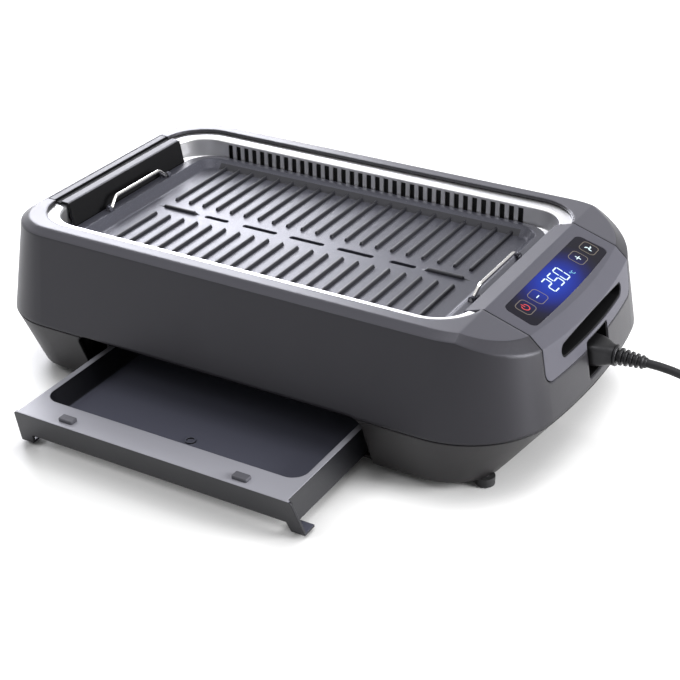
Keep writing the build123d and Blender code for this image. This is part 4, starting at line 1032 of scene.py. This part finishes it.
def fanParts(settings):
    # Each blade swells and sweeps round from hub to tip, its width a part of a sine wave
    share = np.linspace(0, 1, 9)
    radius = settings["fanRoot"] + settings["fanReach"] * share
    width = settings["fanWidth"] * np.sin(np.pi * np.linspace(*settings["fanSwell"], 9))
    parts = []
    for turn in settings["fanTurns"]:
        swing = np.radians(turn + settings["fanSweep"] * share)
        middle = np.stack([radius * np.cos(swing), radius * np.sin(swing)], 1)
        side = np.stack([-np.sin(swing), np.cos(swing)], 1) * (width / 2)[:, None]
        outline = np.vstack([middle + side, (middle - side)[::-1]])
        parts.append((outline, [list(range(len(outline)))]))
    hub = circle(settings["fanHub"], 0, 330, 12)
    return parts + [(hub, [list(range(len(hub)))])]


def addSymbol(name, place, parts, glow):
    # Flat shapes given a thin sheet's thickness, lying on the glass
    points, faces = gather(parts)
    lower = onPanel(points, place, display["lift"])
    upper = onPanel(points, place, display["lift"] + display["sheet"])
    count = len(points)
    edges = {(a, b) for face in faces for a, b in zip(face, face[1:] + face[:1])}
    border = [[a, b, b + count, a + count] for a, b in sorted(edges) if (b, a) not in edges]
    solid = faces + [[index + count for index in face] for face in faces] + border
    symbol = addObject(name, meshFrom(name, np.vstack([lower, upper]), solid))
    symbol.data.materials.append(glows[glow])
    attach(symbol, "base")


def makeSymbols(settings):
    places, arm = settings["places"], settings["armStroke"]
    digits = []
    for index, digit in enumerate(settings["digits"]):
        digits += digitParts(digit, (index - 1) * settings["digitStep"], settings)
    addSymbol("temperatureDigits", places["digits"], digits, "white")
    dotRadius, dotX, dotY, dotStroke = settings["unitDot"]
    arcRadius, arcX, arcY, arcStroke = settings["unitArc"]
    unit = [ribbon(circle(dotRadius, 0, 315, 8) + [dotX, dotY], dotStroke, closed=True),
            ribbon(circle(arcRadius, 50, 310, 12) + [arcX, arcY], arcStroke)]
    addSymbol("celsiusSign", places["unit"], unit, "cyan")
    ends = np.array([-1.0, 1.0])
    outline = roundedRing(*settings["frameHalf"], settings["frameCorner"], ends, ends, 6)
    band = ribbon(outline, settings["frameStroke"], closed=True)
    for name in ("power", "minus", "plus", "fan"):
        addSymbol(name + "Frame", places[name], [band], "tan")
    low, high = settings["powerBar"]
    power = [ribbon(circle(*settings["powerRing"], 26), settings["powerStroke"]),
             ribbon([(0, low), (0, high)], settings["powerStroke"])]
    addSymbol("powerSign", places["power"], power, "red")
    reach = settings["minusArm"]
    addSymbol("minusSign", places["minus"], [ribbon([(-reach, 0), (reach, 0)], arm)], "white")
    reach, start = settings["plusArm"], arm / 2 + 0.005
    plus = [ribbon([(-reach, 0), (reach, 0)], arm), ribbon([(0, start), (0, reach)], arm),
            ribbon([(0, -start), (0, -reach)], arm)]
    addSymbol("plusSign", places["plus"], plus, "white")
    addSymbol("fanSign", places["fan"], fanParts(settings), "white")


makeSymbols(display)
print("display lit")

# Floor and light

studio = {
    "floorReach": 6.0,
    "floorColor": (0.80, 0.80, 0.80),
    "floorRoughness": 0.6,
    "floorSpecular": 0.2,
    "floorGlow": (0.38, 0.92),  # near the object and far from it
    "floorFade": (0.6, 1.7),
    "shadowReach": 0.035,
    "shadowRange": (0.45, 0.95),
    "shadowSamples": 8,
    "worldLevel": 0.24,
    "lamps": [
        {"name": "backLeftSoftbox", "place": (-1.20, 1.03, 0.87), "aim": (-0.1, 0.0, 0.12),
         "size": (1.1, 0.9), "power": 35.0, "color": (0.94, 0.945, 1.0)},
        {"name": "frontSoftbox", "place": (-0.75, -1.0, 1.35), "aim": (0.0, -0.1, 0.05), "size": (0.9, 0.6),
         "power": 5.0},
        {"name": "overheadSoftbox", "place": (0.2, -0.1, 1.7), "aim": (0.0, 0.0, 0.1), "size": (1.2, 0.8),
         "power": 9.0},
        {"name": "rightSoftbox", "place": (1.7, 0.35, 0.55), "aim": (0.15, 0.0, 0.1), "size": (0.8, 0.9),
         "power": 45.0},
    ],
}


def addLamp(settings):
    lamp = bpy.data.lights.new(settings["name"], "AREA")
    lamp.shape = "RECTANGLE"
    lamp.size, lamp.size_y = settings["size"]
    lamp.energy = settings["power"]
    lamp.color = settings.get("color", (1.0, 1.0, 1.0))
    holder = addObject(settings["name"], lamp)
    holder.location = settings["place"]
    aim = Vector(settings["aim"]) - Vector(settings["place"])
    holder.rotation_mode = "QUATERNION"
    holder.rotation_quaternion = aim.to_track_quat("-Z", "Y")


def seenRays(tree):
    # 1 for what the camera, mirrors and glass see, 0 for the light that falls on things
    rays = addNode(tree, "ShaderNodeLightPath").outputs
    seen = combine(tree, "MAXIMUM", rays["Is Camera Ray"], rays["Is Transmission Ray"])
    return combine(tree, "MAXIMUM", seen, rays["Is Glossy Ray"])


def makeWorld(settings):
    world = bpy.data.worlds.new("studioWorld")
    bpy.context.scene.world = world
    world.use_nodes = True
    tree = world.node_tree
    background = tree.nodes["Background"]
    background.inputs["Color"].default_value = (1.0, 1.0, 1.0, 1.0)
    strength = mapRange(tree, seenRays(tree), (0.0, 1.0), (settings["worldLevel"], 1.0))
    tree.links.new(strength, background.inputs["Strength"])


def floorMaterial(settings):
    # White paper: it glows only to the camera, mirrors and glass, and less near the object, so that the
    # shadow stays. Where the object nearly touches the floor, ambient occlusion takes the glow away, which
    # paints a darker contact shadow.
    material, tree, shader = newMaterial("floorPaper", {
        "Base Color": (*settings["floorColor"], 1.0),
        "Roughness": settings["floorRoughness"],
        "Specular IOR Level": settings["floorSpecular"],
        "Emission Color": (1.0, 1.0, 1.0, 1.0),
    })
    distance = addNode(tree, "ShaderNodeVectorMath", operation="LENGTH")
    tree.links.new(addNode(tree, "ShaderNodeTexCoord").outputs["Object"], distance.inputs[0])
    fade = mapRange(tree, distance.outputs["Value"], settings["floorFade"], settings["floorGlow"])
    # Painted contact shadow: no glow where the object is close above the floor
    nearby = addNode(tree, "ShaderNodeAmbientOcclusion", {"Distance": settings["shadowReach"]},
                     samples=settings["shadowSamples"])
    clear = mapRange(tree, nearby.outputs["AO"], settings["shadowRange"])
    glow = combine(tree, "MULTIPLY", combine(tree, "MULTIPLY", fade, clear), seenRays(tree))
    tree.links.new(glow, shader.inputs["Emission Strength"])
    return material


def makeFloor(settings):
    reach = settings["floorReach"]
    floorMesh = bpy.data.meshes.new("studioFloor")
    corners = [(x, y, 0) for x, y in rectangle(-reach, reach, -reach, reach)]
    floorMesh.from_pydata(corners, [], [(0, 1, 2, 3)])
    floorMesh.materials.append(floorMaterial(settings))
    floor = addObject("studioFloor", floorMesh)


for lamp in studio["lamps"]:
    addLamp(lamp)
makeWorld(studio)
makeFloor(studio)
bpy.context.scene.view_settings.view_transform = "Standard"
print("studio lit")
